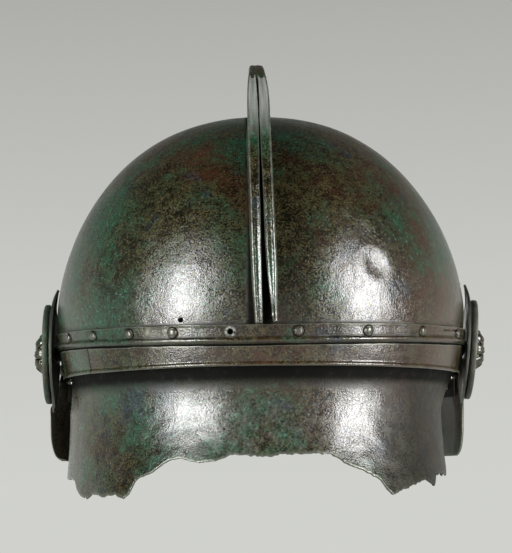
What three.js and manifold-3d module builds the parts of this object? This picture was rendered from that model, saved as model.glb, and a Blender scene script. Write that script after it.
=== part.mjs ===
// A bronze helmet of the Greek Hellenistic kind, raised from sheet and riveted together.
// Units are millimetres. +Z is up, the face looks along -Y and +X is the wearer's left.
// The origin is the middle of the head opening, in the plane of the bowl's rim.
// Angles round the bowl are in degrees, from the rear towards the wearer's left.

import * as THREE from 'three';
import { mergeVertices } from 'three/addons/utils/BufferGeometryUtils.js';
import Module from 'manifold-3d';

const wasm = await Module();
wasm.setup();

// Clearances
const seatGap = 0.3;
const holeGap = 0.3;
const overrun = 3;

// Bowl: an egg plan, a rim that tucks in, and a crown that is rounder than an ellipse
const bowlWidth = 200;
const bowlLength = 236;
const bowlHeight = 127;
const bowlWall = 1.2;
const widestLevel = 28;
const rimTuck = 4.5;
const tuckPowerShare = 1.5;
const risePowerShare = 1.75;
const roundPowerShare = 2.3;
const rearFullShare = 0.04;
const rimLevelShares = [0, 0.3, 0.65];
const crownLevelShares = [0, 0.24, 0.45, 0.64, 0.8, 0.92, 0.98, 1];
const bowlSegments = 54;

// Girdle: the riveted strip with its rolled bead, and the plain fascia under it
const girdleHalfAngle = 82;
const stripWall = 1;
const stripTop = 17.6;
const stripTopSideRise = 2.2;
const grooveLevel = 9;
const grooveSideRise = 3.3;
const beadHeight = 3;
const beadBulge = 1.2;
const beadPowerShare = 0.7;
const beadShares = [0, 0.2, 0.55, 1];
const fasciaWall = 1;
const fasciaDrop = 0.8;
const fasciaSideDrop = 0.7;
const lipHeight = 2;
const lipBulge = 1.1;
const lipTurnShare = 0.75;
const lipShares = [0.3, 0.65, 1];
const fasciaHollow = 0.25;
const fasciaFaceShares = [0, 0.5, 1];
const seamAngle = 53;
const girdleStations = 28;
const rearFasciaStations = 22;
const leftFasciaStations = 8;

// Neck guard: hangs inside the bowl's rim, draws in, then flares to a broken edge
const guardHalfAngle = 84;
const guardWall = 1;
const guardMargin = 18.4;
const guardDrop = 60;
const guardDraw = 3;
const drawDepthShare = 0.3;
const sideFlare = 3;
const rearFlare = 12;
const flarePowerShare = 1.6;
const guardMarginShares = [1, 0];
const guardDropShares = [0.14, 0.36, 0.58, 0.79, 1];
const guardStationShare = 0.062;
// The broken edge: place round the guard, from the right end to the left, and depth
const guardEdgeShares = [
  [-1, 0.82], [-0.87, 0.84], [-0.7, 0.83], [-0.645, 0.936], [-0.6, 0.88],
  [-0.54, 0.9], [-0.455, 0.95], [-0.405, 0.992], [-0.372, 0.877], [-0.35, 0.846],
  [-0.314, 0.792], [-0.276, 0.769], [-0.24, 0.708], [-0.216, 0.685], [-0.14, 0.675],
  [0, 0.694], [0.05, 0.677], [0.1, 0.677], [0.14, 0.72], [0.21, 0.722], [0.265, 0.698],
  [0.3, 0.712], [0.33, 0.75], [0.4, 0.832], [0.418, 0.87], [0.448, 0.993], [0.487, 0.957],
  [0.55, 0.977], [0.62, 0.953], [0.65, 0.99], [0.69, 0.976], [0.745, 0.93], [0.8, 0.842],
  [0.9, 0.84], [1, 0.832],
];

// Brow plate: rounds the front from temple to temple, with a peak in the middle
const browHalfAngle = 88;
const browWall = 1;
const browPeak = 60;
const browMouldingHeight = 2.4;
const browMouldingBulge = 0.7;
const browMouldingShares = [0, 0.4, 1];
const mouldingTurnShare = 0.25;
const browRollRadius = 1.2;
// Place from the middle of the front to the temple, and the height of the top edge
const browTopShares = [[0, 1], [0.08, 0.95], [0.25, 0.8], [0.5, 0.68], [0.75, 0.68], [0.9, 0.74], [1, 0.76]];
const browRowShares = [0, 0.16, 0.32, 0.48, 0.64, 0.81, 1];
const browRollShares = [0.18, 0.55, 0.92];
const browStations = 34;

// Crest: two walls that stand on the bowl's middle line, with lips turned in over a slot
const crestHeight = 25;
const crestHalfWidth = 5.5;
const crestWall = 1;
const crestEdge = 0.8;
const crestRearLevel = 18.8;
const crestFrontLevel = 67;
const crestStations = 27;
const bridgeWall = 0.9;
const bridgeStartShare = 0.55;
const bridgeEndShare = 0.9;
// Place from rear to front, height, half width, and the slot's left and right edges
const crestShares = [
  [0, 0.32, 0.91, 0.31, -0.73], [0.05, 0.37, 0.95, 0.27, -0.4], [0.1, 0.43, 1, 0.22, -0.2],
  [0.25, 0.64, 0.97, 0.13, -0.13], [0.33, 0.76, 0.96, 0.05, -0.05], [0.4, 0.86, 0.93, 0.09, -0.09],
  [0.5, 0.96, 0.76, 0.09, -0.08], [0.6, 1, 0.65, 0.06, -0.06], [0.75, 0.9, 0.6, 0.06, -0.06],
  [0.88, 0.56, 0.48, 0.05, -0.05], [0.96, 0.28, 0.36, 0.04, -0.04], [1, 0.16, 0.3, 0.04, -0.04],
];
// The crest leans: its middle line wanders a little off the helmet's own
const crestLean = 2.3;
const crestLeanShares = [[0, -1], [0.15, -0.6], [0.35, -0.15], [0.5, 0.3], [0.6, 0.6], [0.8, 0.4], [1, 0]];

// Rivets
const rivetHeadRadius = 2;
const rivetHeadHeight = 1;
const rivetShankRadius = 1.1;
const rivetClenchRadius = 1.7;
const rivetClenchHeight = 0.6;
const rivetCrownShare = 0.7;
const rivetShoulderShare = 0.75;
const rivetSegments = 6;
const rivetInset = 3.1;
const leftRivetAngles = [22.7, 35.7, 49.3, 63.2];
const rightRivetAngles = [9.3, 28, 46.6, 66.9];
const lostRivetAngle = 7.7;
const browRivetAngles = [0, 24, 48];
const browRivetLevel = 6.4;

// Plaques: a lobed backing, a dished disc and a rosette, pinned to the bowl over a collar
const plaqueStation = 5;
const plaqueLevel = 11.5;
const plaqueLeanLeft = 0;
const plaqueLeanRight = 5;
const backingWall = 1.2;
const backingTop = 32;
const backingBottom = 28.5;
const backingHalfWidth = 26;
const backingBow = 2.7;
const backingBowStart = 21;
const discRadius = 24.5;
const discDepth = 2.8;
const discSheet = 1.1;
const discSegments = 20;
const rosetteRadius = 10;
const rosetteHeight = 3.6;
const petalCount = 8;
const petalTilt = 24;
const petalSegments = 6;
const petalRings = 4;
const petalDepthShare = 0.2;
const petalWidthShare = 0.24;
const petalLengthShare = 0.42;
const petalRiseShare = 0.52;
const petalReachShare = 0.6;
// Radius and rise of the rosette's heart, from its foot to its top
const heartShares = [[0, 0], [0.5, 0], [0.56, 0.45], [0.4, 0.85], [0.3, 1], [0, 1]];
const pinRadius = 1.5;
const pinHeadRadius = 2.6;
const pinHeadHeight = 1.2;
const pinClenchGap = 0.6;
const collarRadius = 3.6;
const collarLengthLeft = 3.1;
const collarLengthRight = 1.6;
const collarGap = 0.5;
// Height on the backing, from its foot to its tip, and its half width
const backingShares = [
  [0, 0.03], [0.06, 0.24], [0.12, 0.44], [0.2, 0.68], [0.32, 0.92], [0.46, 1], [0.6, 0.93],
  [0.72, 0.72], [0.8, 0.5], [0.86, 0.32], [0.92, 0.21], [0.97, 0.1], [1, 0.03],
];
const backingAcrossShares = [-1, -0.4, 0.4, 1];
// Radius and depth of the disc's section: its face, its rim and its hollow back
const discHollowShares = [[0.93, 0], [0.88, 1]];
const discFaceShares = [[0.42, 0.74], [0.5, 0.88], [0.58, 0.72], [0.86, 0.74], [0.93, 1], [1, 0.92]];

// Hinges and cheek pieces
const hingeAngle = 109;
const hingeLevel = 5;
const hingeLength = 32;
const barrelRadius = 2.2;
const hingePinRadius = 1;
const hingePinHeadRadius = 1.7;
const hingePinHeadHeight = 0.9;
const leafWall = 1;
const leafGap = 0.5;
const upperLeafHeight = 15;
const lowerLeafHeight = 16;
const leafRivetSpacingShare = 0.5625;
const upperRivetHeight = 9.5;
const lowerRivetDepth = 10.8;
const barrelSegments = 10;
const cheekWall = 1.2;
const cheekHeight = 43;
const cheekWidth = 38;
const cheekCurve = 5.4;
const cheekRounding = 38;
const cheekSwellShareLeft = 0.9;
const cheekSwellShareRight = 0.34;
const flangeWidth = 5.2;
const flangeReach = 4;
const flangePowerShare = 1.5;
// Depth down the cheek piece, its front edge, its rear edge, its bulge and its flange
const cheekShares = [
  [0, -0.46, 0.45, 0, 0], [0.07, -0.5, 0.45, 0, 0], [0.15, -0.52, 0.44, 0, 0.6], [0.25, -0.47, 0.43, 0, 1.4],
  [0.31, -0.4, 0.42, 0, 1.8], [0.38, -0.32, 0.42, 0.3, 1.85], [0.5, -0.27, 0.41, 0.75, 1.3],
  [0.62, -0.35, 0.4, 0.98, 1.04], [0.72, -0.38, 0.39, 1, 1.02], [0.8, -0.32, 0.37, 0.98, 1],
  [0.87, -0.24, 0.35, 0.93, 0.95], [0.93, -0.2, 0.32, 0.88, 0.85], [0.965, -0.18, 0.29, 0.85, 0.65],
  [0.99, -0.16, 0.26, 0.83, 0.35], [1, -0.14, 0.24, 0.82, 0.15],
];
const cheekAcrossShares = [0, 0.2, 0.4, 0.6, 0.78, 0.88, 0.95, 1];

// Finishes
const darkBronze = new THREE.MeshStandardMaterial({ color: 0x3a3a2c, roughness: 0.34, metalness: 0.8 });
const greenBronze = new THREE.MeshStandardMaterial({ color: 0x3f4c38, roughness: 0.42, metalness: 0.7 });
const brownBronze = new THREE.MeshStandardMaterial({ color: 0x4a3f2e, roughness: 0.4, metalness: 0.75 });
const wornBronze = new THREE.MeshStandardMaterial({ color: 0x6b6248, roughness: 0.36, metalness: 0.85 });

const radians = THREE.MathUtils.degToRad;
const mix = THREE.MathUtils.lerp;
const limit = THREE.MathUtils.clamp;

// Reads a column of a table whose rows start with a place, with straight runs between rows.
function readShares(table, place, column = 1) {
  const after = table.findIndex((row) => row[0] >= place);
  if (after === 0) return table[0][column];
  if (after < 0) return table.at(-1)[column];
  const [low, high] = [table[after - 1], table[after]];
  return mix(low[column], high[column], (place - low[0]) / (high[0] - low[0]));
}

// Adds rows between those of a table until no step is wider than asked.
function closeRows(table, widest) {
  return table.flatMap((row, index) => {
    if (index === 0) return [row];
    const before = table[index - 1];
    const steps = Math.ceil((row[0] - before[0]) / widest);
    return evenShares(steps + 1).slice(1).map((share) => row.map((value, column) => mix(before[column], value, share)));
  });
}

function evenShares(count) {
  return Array.from({ length: count }, (_, index) => index / (count - 1));
}

// Half width of the bowl's skin at a level; an offset grows or shrinks the whole skin.
function skinRadius(level, offset = 0) {
  const half = bowlWidth / 2 + offset;
  if (level < widestLevel) return half - rimTuck * ((widestLevel - level) / widestLevel) ** tuckPowerShare;
  const climb = limit((level - widestLevel) / (bowlHeight + offset - widestLevel), 0, 1);
  return half * (1 - climb ** risePowerShare) ** (1 / roundPowerShare);
}

// A point of the egg plan: a circle stretched to the bowl's length and filled out at the rear.
function ovalPoint(angle, radius, level) {
  const turn = radians(angle);
  const fullness = 1 + rearFullShare * Math.cos(turn);
  return new THREE.Vector3(radius * Math.sin(turn) * fullness, radius * Math.cos(turn) * bowlLength / bowlWidth, level);
}

function skinPoint(angle, level, offset = 0) {
  return ovalPoint(angle, skinRadius(level, offset), level);
}

// The skin's outward direction, from two short steps along it.
function skinNormal(angle, level) {
  const around = skinPoint(angle + seatGap, level).sub(skinPoint(angle - seatGap, level));
  const upward = skinPoint(angle, level + seatGap).sub(skinPoint(angle, level - seatGap));
  return upward.cross(around).normalize();
}

// How far a point lies outside the offset skin, measured across the round plan.
function heightOver(point, offset) {
  const along = point.y * bowlWidth / bowlLength;
  let across = point.x;
  for (let pass = 0; pass < 4; pass++) {
    across = point.x / (1 + rearFullShare * Math.cos(Math.atan2(across, along)));
  }
  return Math.hypot(across, along) - skinRadius(point.z, offset);
}

// The way from a point to the offset skin, straight back against a direction.
function depthTo(point, direction, offset) {
  let near = -bowlWidth / 10;
  let far = bowlWidth / 4;
  for (let pass = 0; pass < 40; pass++) {
    const middle = (near + far) / 2;
    if (heightOver(point.clone().addScaledVector(direction, -middle), offset) > 0) near = middle;
    else far = middle;
  }
  return near;
}

function geometryFrom(points, faces) {
  const geometry = new THREE.BufferGeometry();
  geometry.setAttribute('position', new THREE.Float32BufferAttribute(points.flatMap((p) => p.toArray()), 3));
  geometry.setIndex(faces);
  return geometry;
}

function signedVolume(geometry) {
  const [a, b, c] = [new THREE.Vector3(), new THREE.Vector3(), new THREE.Vector3()];
  const { position } = geometry.attributes;
  const { index } = geometry;
  let sum = 0;
  for (let corner = 0; corner < index.count; corner += 3) {
    a.fromBufferAttribute(position, index.getX(corner));
    b.fromBufferAttribute(position, index.getX(corner + 1));
    c.fromBufferAttribute(position, index.getX(corner + 2));
    sum += a.dot(b.cross(c));
  }
  return sum;
}

// Keeps only positions, joins shared corners, drops empty triangles and turns the faces out.
function closed(geometry) {
  const bare = geometry.clone();
  bare.deleteAttribute('normal');
  bare.deleteAttribute('uv');
  const merged = mergeVertices(bare);
  const faces = [];
  for (let corner = 0; corner < merged.index.count; corner += 3) {
    const face = [0, 1, 2].map((step) => merged.index.getX(corner + step));
    if (new Set(face).size === 3) faces.push(...face);
  }
  merged.setIndex(faces);
  if (signedVolume(merged) < 0) merged.setIndex(faces.map((_, place) => faces[place - (place % 3) + 2 - (place % 3)]));
  return merged;
}

function toSolid(geometry) {
  const merged = closed(geometry);
  return new wasm.Manifold(new wasm.Mesh({
    numProp: 3,
    vertProperties: new Float32Array(merged.attributes.position.array),
    triVerts: new Uint32Array(merged.index.array),
  }));
}

function fromSolid(solid) {
  const { vertProperties, triVerts } = solid.getMesh();
  const geometry = new THREE.BufferGeometry();
  geometry.setAttribute('position', new THREE.Float32BufferAttribute(vertProperties, 3));
  geometry.setIndex(Array.from(triVerts));
  return closed(geometry);
}

function joined(geometries) {
  return fromSolid(geometries.map(toSolid).reduce((whole, piece) => whole.add(piece)));
}

function cutBy(geometry, cutters) {
  return fromSolid(cutters.map(toSolid).reduce((whole, cutter) => whole.subtract(cutter), toSolid(geometry)));
}

// A sheet between two grids of points, closed round its four edges.
function sheetBetween(outer, inner) {
  const [rows, columns] = [outer.length, outer[0].length];
  const points = [...outer.flat(), ...inner.flat()];
  const onOuter = (row, column) => row * columns + column;
  const onInner = (row, column) => rows * columns + row * columns + column;
  const faces = [];
  const quad = (a, b, c, d) => faces.push(a, b, c, a, c, d);
  for (let row = 0; row + 1 < rows; row++) {
    for (let column = 0; column + 1 < columns; column++) {
      quad(onOuter(row, column), onOuter(row, column + 1), onOuter(row + 1, column + 1), onOuter(row + 1, column));
      quad(onInner(row, column), onInner(row + 1, column), onInner(row + 1, column + 1), onInner(row, column + 1));
    }
    const end = columns - 1;
    quad(onOuter(row, 0), onOuter(row + 1, 0), onInner(row + 1, 0), onInner(row, 0));
    quad(onOuter(row, end), onInner(row, end), onInner(row + 1, end), onOuter(row + 1, end));
  }
  for (let column = 0; column + 1 < columns; column++) {
    const end = rows - 1;
    quad(onOuter(0, column), onInner(0, column), onInner(0, column + 1), onOuter(0, column + 1));
    quad(onOuter(end, column), onOuter(end, column + 1), onInner(end, column + 1), onInner(end, column));
  }
  return closed(geometryFrom(points, faces));
}

// A band round the bowl. Each row says its level and how far its outer and inner face lie off the skin.
function bandRound(angles, rowsAt) {
  const grids = angles.map((angle) => rowsAt(angle));
  const face = (side) => grids.map((rows, station) => rows.map((row) => skinPoint(angles[station], row.level, row[side])));
  return sheetBetween(face('outer'), face('inner'));
}

// Turns a shape made upright, along +Y, so that it stands on a point and looks along a direction.
function stoodOn(geometry, point, direction) {
  const turn = new THREE.Quaternion().setFromUnitVectors(new THREE.Vector3(0, 1, 0), direction);
  return geometry.clone().applyQuaternion(turn).translate(point.x, point.y, point.z);
}

function drillAt(point, direction, radius, depth) {
  return stoodOn(new THREE.CylinderGeometry(radius, radius, depth, rivetSegments), point, direction);
}

function piece(name, geometry, material) {
  const mesh = new THREE.Mesh(geometry, material);
  mesh.name = name;
  return mesh;
}

// The same piece for the other side of the helmet
function handed(geometry, side) {
  if (side > 0) return geometry;
  return closed(geometry.clone().scale(side, 1, 1));
}

const helmet = new THREE.Group();
const sides = [['left', 1], ['right', -1]];

// Girdle levels rise a little from the rear to the sides
const sideways = (angle) => Math.sin(radians(angle)) ** 2;
const stripTopAt = (angle) => stripTop + stripTopSideRise * sideways(angle);
const grooveAt = (angle) => grooveLevel + grooveSideRise * sideways(angle);
const fasciaFootAt = (angle) => -fasciaDrop - fasciaSideDrop * sideways(angle);

function stripRows(angle) {
  const [top, foot] = [stripTopAt(angle), grooveAt(angle)];
  const beadTop = foot + beadHeight;
  const plain = { inner: seatGap, outer: seatGap + stripWall };
  const swell = beadShares.map((share) => ({
    level: mix(beadTop, foot, share),
    inner: seatGap,
    outer: seatGap + stripWall + beadBulge * Math.sin(Math.PI * share) ** beadPowerShare,
  }));
  return [{ level: top, ...plain }, { level: mix(top, beadTop, 0.5), ...plain }, ...swell];
}

function fasciaRows(angle) {
  const [top, foot] = [grooveAt(angle) - seatGap, fasciaFootAt(angle)];
  const lipTop = foot + lipHeight;
  const outer = seatGap + fasciaWall;
  const face = fasciaFaceShares.map((share) => ({
    level: mix(top, lipTop, share),
    inner: seatGap,
    outer: outer - fasciaHollow * Math.sin(Math.PI * share),
  }));
  const lip = lipShares.map((share) => ({
    level: mix(lipTop, foot, share),
    inner: seatGap,
    outer: outer + lipBulge * Math.sin(Math.PI * lipTurnShare * share),
  }));
  return [...face, ...lip];
}

const anglesBetween = (from, to, count) => evenShares(count).map((share) => mix(from, to, share));

// A rivet stands on the outermost sheet, passes through all of them and is clenched inside.
function rivetGeometry(grip) {
  const clench = -grip - seatGap;
  const profile = [
    [0, seatGap + rivetHeadHeight],
    [rivetHeadRadius * rivetCrownShare, seatGap + rivetHeadHeight * rivetShoulderShare],
    [rivetHeadRadius, seatGap], [rivetShankRadius, seatGap], [rivetShankRadius, clench],
    [rivetClenchRadius, clench], [0, clench - rivetClenchHeight],
  ];
  return closed(new THREE.LatheGeometry(profile.map(([x, y]) => new THREE.Vector2(x, y)), rivetSegments));
}

const rivetDrill = (seat) => drillAt(seat.point, seat.direction, rivetShankRadius + holeGap, seat.grip * 2 + overrun);

// Where a rivet sits on the outermost sheet, and how deep the stack of sheets is there
function rivetSeat(angle, level, outerOffset, innerOffset) {
  const direction = skinNormal(angle, level);
  const point = skinPoint(angle, level, outerOffset);
  return { point, direction, grip: depthTo(point, direction, innerOffset) };
}

function rivetPiece(name, seat) {
  const mesh = piece(name, rivetGeometry(seat.grip), wornBronze);
  mesh.position.copy(seat.point);
  mesh.quaternion.setFromUnitVectors(new THREE.Vector3(0, 1, 0), seat.direction);
  return mesh;
}

const guardInside = -(bowlWall + seatGap + guardWall);
const girdleSeat = (angle) => rivetSeat(angle, stripTopAt(angle) - rivetInset, seatGap + stripWall, guardInside);
const girdleRivets = [
  ...leftRivetAngles.map((angle, index) => [`girdle_rivet_left_${index + 1}`, girdleSeat(angle)]),
  ...rightRivetAngles.map((angle, index) => [`girdle_rivet_right_${index + 1}`, girdleSeat(-angle)]),
];
const girdleDrills = [...girdleRivets.map(([, seat]) => seat), girdleSeat(lostRivetAngle)].map(rivetDrill);

const browSeat = (angle) => rivetSeat(180 + angle, browRivetLevel, seatGap + browWall, -bowlWall);
const browRivets = [
  ['brow_rivet_middle', browSeat(browRivetAngles[0])],
  ...sides.flatMap(([name, side]) => browRivetAngles.slice(1).map(
    (angle, index) => [`brow_rivet_${name}_${index + 1}`, browSeat(-side * angle)])),
];

// Placing of a plaque: its collar stands on the bowl and its pin runs square to its disc. The right one stands
// closer to the bowl and leans out at its top.
const plaqueTurn = Math.acos(plaqueStation / (skinRadius(plaqueLevel) * bowlLength / bowlWidth));
const plaqueFoot = skinPoint(THREE.MathUtils.radToDeg(plaqueTurn), plaqueLevel);

function plaquePlacing(lean, collarLength) {
  const outward = new THREE.Vector3(Math.cos(radians(lean)), 0, -Math.sin(radians(lean)));
  const seat = plaqueFoot.clone().addScaledVector(outward, collarGap + collarLength + seatGap);
  return { lean, collarLength, outward, seat, grip: depthTo(seat, outward, -bowlWall) };
}

const plaquePlacings = {
  left: plaquePlacing(plaqueLeanLeft, collarLengthLeft),
  right: plaquePlacing(plaqueLeanRight, collarLengthRight),
};

// Placing of a hinge: the barrel lies along the brow plate, its leaf leans with the plate.
const hingeFoot = skinPoint(hingeAngle, hingeLevel, seatGap + browWall);
const hingeAlong = skinPoint(hingeAngle - 1, hingeLevel).sub(skinPoint(hingeAngle + 1, hingeLevel)).normalize();
const hingeOutward = new THREE.Vector3(hingeAlong.y, -hingeAlong.x, 0);
const hingeYaw = Math.atan2(hingeAlong.x, hingeAlong.y);
const hingeCentre = hingeFoot.clone().addScaledVector(hingeOutward, leafGap + barrelRadius);
const leafRise = skinRadius(hingeLevel + upperLeafHeight) - skinRadius(hingeLevel);
const leafLean = Math.atan2(leafRise, upperLeafHeight);
const leafOutward = hingeOutward.clone().multiplyScalar(Math.cos(leafLean)).setZ(-Math.sin(leafLean));

function upperRivetSeat(along) {
  const point = hingeCentre.clone()
    .addScaledVector(hingeAlong, along)
    .addScaledVector(hingeOutward, leafWall - barrelRadius + upperRivetHeight * Math.tan(leafLean));
  point.z += upperRivetHeight;
  return { point, direction: leafOutward, grip: depthTo(point, leafOutward, -bowlWall) };
}

const leafRivetPlaces = [1, -1].map((end) => end * leafRivetSpacingShare * hingeLength / 2);
const mirroredSeat = ({ point, direction, grip }, side) => ({
  point: point.clone().setX(point.x * side),
  direction: direction.clone().setX(direction.x * side),
  grip,
});
const leafRivets = sides.flatMap(([name, side]) => leafRivetPlaces.map(
  (along, index) => [`hinge_rivet_upper_${name}_${index + 1}`, mirroredSeat(upperRivetSeat(along), side)]));
const frontDrills = [...browRivets, ...leafRivets].map(([, seat]) => rivetDrill(seat));
const plaqueDrills = sides.map(([name, side]) => {
  const { outward, grip } = plaquePlacings[name];
  const { point, direction } = mirroredSeat({ point: plaqueFoot, direction: outward }, side);
  return drillAt(point, direction, pinRadius + holeGap, grip + overrun);
});

// Crown bowl: one raised sheet, turned as a shell and then pressed to the egg plan
function bowlProfile(offset, rising) {
  const top = bowlHeight + offset;
  const levels = [
    ...rimLevelShares.map((share) => share * widestLevel),
    ...crownLevelShares.map((share) => mix(widestLevel, top, share)),
  ];
  const points = levels.map((level) => new THREE.Vector2(skinRadius(level, offset), level));
  return rising ? points : points.reverse();
}

function crownBowl() {
  const profile = [...bowlProfile(0, false), ...bowlProfile(-bowlWall, true)];
  const shell = new THREE.LatheGeometry(profile, bowlSegments).rotateX(Math.PI / 2);
  const { position } = shell.attributes;
  for (let index = 0; index < position.count; index++) {
    const [x, y] = [position.getX(index), position.getY(index)];
    const rearward = y / Math.max(Math.hypot(x, y), seatGap);
    position.setXY(index, x * (1 + rearFullShare * rearward), y * bowlLength / bowlWidth);
  }
  return cutBy(shell, [...girdleDrills, ...frontDrills, ...plaqueDrills]);
}

helmet.add(piece('crown_bowl', crownBowl(), darkBronze));

// Girdle
const stripAngles = anglesBetween(-girdleHalfAngle, girdleHalfAngle, girdleStations);
helmet.add(piece('rivet_strip', cutBy(bandRound(stripAngles, stripRows), girdleDrills), darkBronze));
const rearFasciaAngles = anglesBetween(-girdleHalfAngle, seamAngle, rearFasciaStations);
helmet.add(piece('fascia_strip_rear', bandRound(rearFasciaAngles, fasciaRows), brownBronze));
const seamWidth = THREE.MathUtils.radToDeg(seatGap / (bowlWidth / 2));
const leftFasciaAngles = anglesBetween(seamAngle + seamWidth, girdleHalfAngle, leftFasciaStations);
helmet.add(piece('fascia_strip_left', bandRound(leftFasciaAngles, fasciaRows), greenBronze));
for (const [name, seat] of girdleRivets) helmet.add(rivetPiece(name, seat));

// Neck guard
function guardRadius(angle, level) {
  const under = -(bowlWall + seatGap);
  if (level >= 0) return skinRadius(level, under);
  const depth = -level / guardDrop;
  const draw = guardDraw * Math.sin(Math.PI / 2 * Math.min(1, depth / drawDepthShare));
  const flare = sideFlare + rearFlare * Math.max(0, Math.cos(radians(angle))) ** 2;
  return skinRadius(0, under) - draw + flare * limit((depth - drawDepthShare) / (1 - drawDepthShare), 0, 1) ** flarePowerShare;
}

function neckGuard() {
  const rowsAt = ([place, edge]) => {
    const angle = place * guardHalfAngle;
    const levels = [
      ...guardMarginShares.map((share) => share * guardMargin),
      ...guardDropShares.map((share) => -share * edge * guardDrop),
    ];
    return [0, guardWall].map((inset) => levels.map((level) => ovalPoint(angle, guardRadius(angle, level) - inset, level)));
  };
  const grids = closeRows(guardEdgeShares, guardStationShare).map(rowsAt);
  return sheetBetween(grids.map(([outer]) => outer), grids.map(([, inner]) => inner));
}

helmet.add(piece('neck_guard', cutBy(neckGuard(), girdleDrills), greenBronze));

// Brow plate
function browRows(angle) {
  const top = browPeak * readShares(browTopShares, Math.abs(angle - 180) / browHalfAngle);
  const rollLevel = -seatGap - browRollRadius;
  const middle = seatGap + browWall / 2;
  const plain = { inner: seatGap, outer: seatGap + browWall };
  const moulding = browMouldingShares.map((share) => ({
    level: top - browMouldingHeight * share,
    inner: seatGap,
    outer: seatGap + browWall + browMouldingBulge * Math.sin(Math.PI * mix(mouldingTurnShare, 1, share)),
  }));
  const face = browRowShares.slice(1).map((share) => ({ level: mix(top - browMouldingHeight, 0, share), ...plain }));
  const roll = browRollShares.map((share) => ({
    level: rollLevel + browRollRadius * Math.cos(Math.PI * share),
    inner: middle - browRollRadius * Math.sin(Math.PI * share),
    outer: middle + browRollRadius * Math.sin(Math.PI * share),
  }));
  return [...moulding, ...face, ...roll];
}

const browAngles = anglesBetween(180 - browHalfAngle, 180 + browHalfAngle, browStations);
helmet.add(piece('brow_plate', cutBy(bandRound(browAngles, browRows), frontDrills), darkBronze));
for (const [name, seat] of browRivets) helmet.add(rivetPiece(name, seat));

// Crest. A place on it is a share of the way along the middle line, from the rear to the front.
const levelTurn = (level) => Math.asin(((level - widestLevel) / (bowlHeight - widestLevel)) ** (risePowerShare / 2));
const crestStart = -(widestLevel - crestRearLevel) / (bowlHeight - widestLevel);
const crestEnd = Math.PI - levelTurn(crestFrontLevel);

function middleLine(place) {
  const turn = mix(crestStart, crestEnd, place);
  const rise = Math.max(0, Math.sin(turn)) ** (2 / risePowerShare);
  const level = turn < 0 ? widestLevel + turn * (bowlHeight - widestLevel) : mix(widestLevel, bowlHeight, rise);
  return skinPoint(turn < Math.PI / 2 ? 0 : 180, level);
}

function crestFrame(place) {
  const step = 1 / bowlHeight;
  const along = middleLine(Math.min(1, place + step)).sub(middleLine(Math.max(0, place - step))).normalize();
  const outward = new THREE.Vector3(0, along.z, -along.y);
  return { base: middleLine(place).setX(crestLean * readShares(crestLeanShares, place)), outward };
}

function crestSheet(places, sectionAt) {
  const grids = places.map((place) => {
    const { base, outward } = crestFrame(place);
    return sectionAt(place).map((path) => path.map(
      ([across, height]) => base.clone().addScaledVector(outward, height).add(new THREE.Vector3(across, 0, 0))));
  });
  return sheetBetween(grids.map(([outer]) => outer), grids.map(([, inner]) => inner));
}

const crestSize = (place) => ({
  height: crestHeight * readShares(crestShares, place, 1),
  half: crestHalfWidth * readShares(crestShares, place, 2),
});

function crestWallSection(place, side) {
  const { height, half } = crestSize(place);
  const slot = crestHalfWidth * readShares(crestShares, place, side > 0 ? 3 : 4);
  const [outside, inside] = [side * half, side * (half - crestWall)];
  const under = height - crestWall;
  const tuck = crestEdge / 2;
  return [
    [[outside, seatGap], [outside, height - crestEdge], [outside - side * crestEdge, height], [slot, height]],
    [[inside, seatGap], [inside, under - tuck], [inside - side * tuck / 2, under], [slot, under]],
  ];
}

function bridgeSection(place) {
  const { height, half } = crestSize(place);
  const [reach, top] = [half - crestWall - seatGap, height - crestWall - seatGap];
  return [[[-reach, top], [reach, top]], [[-reach, top - bridgeWall], [reach, top - bridgeWall]]];
}

const crestPlaces = evenShares(crestStations);
for (const [name, side] of sides) {
  const wall = crestSheet(crestPlaces, (place) => crestWallSection(place, side));
  helmet.add(piece(`crest_wall_${name}`, wall, darkBronze));
}
const bridgePlaces = crestPlaces.filter((place) => place > bridgeStartShare && place < bridgeEndShare);
helmet.add(piece('crest_bridge', crestSheet(bridgePlaces, bridgeSection), brownBronze));

// Plaque pieces, made for the left side with +X outward and the origin on the backing's inner face
function backing() {
  const rows = backingShares.map(([place, width]) => {
    const height = mix(-backingBottom, backingTop, place);
    const bow = backingBow * limit((height - backingBowStart) / (backingTop - backingBowStart), 0, 1) ** 2;
    return [backingWall, 0].map((depth) => backingAcrossShares.map(
      (across) => new THREE.Vector3(depth - bow, across * width * backingHalfWidth, height)));
  });
  const plate = sheetBetween(rows.map(([outer]) => outer), rows.map(([, inner]) => inner));
  return cutBy(plate, [drillAt(new THREE.Vector3(), new THREE.Vector3(1, 0, 0), pinRadius + holeGap, overrun * 2)]);
}

// A section of radii and depths, turned about the plaque's axis
function turnedOutward(section, segments) {
  const profile = section.map(([radius, depth]) => new THREE.Vector2(radius, depth));
  return closed(new THREE.LatheGeometry(profile, segments).rotateZ(-Math.PI / 2));
}

const discBack = backingWall + seatGap;
const discFace = discBack + discDepth * discFaceShares[0][1];
const rosetteFoot = discFace + seatGap;
const rosetteTop = rosetteFoot + rosetteHeight;

function disc() {
  const hole = pinRadius + holeGap;
  const face = discFaceShares.map(([radius, depth]) => [radius * discRadius, discBack + depth * discDepth]);
  const hollow = discFace - discSheet;
  const section = [
    [hole, hollow], [hole, discFace], ...face, [discRadius, discBack],
    ...discHollowShares.map(([radius, depth]) => [radius * discRadius, mix(discBack, hollow, depth)]), [hole, hollow],
  ];
  return turnedOutward(section, discSegments);
}

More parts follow.
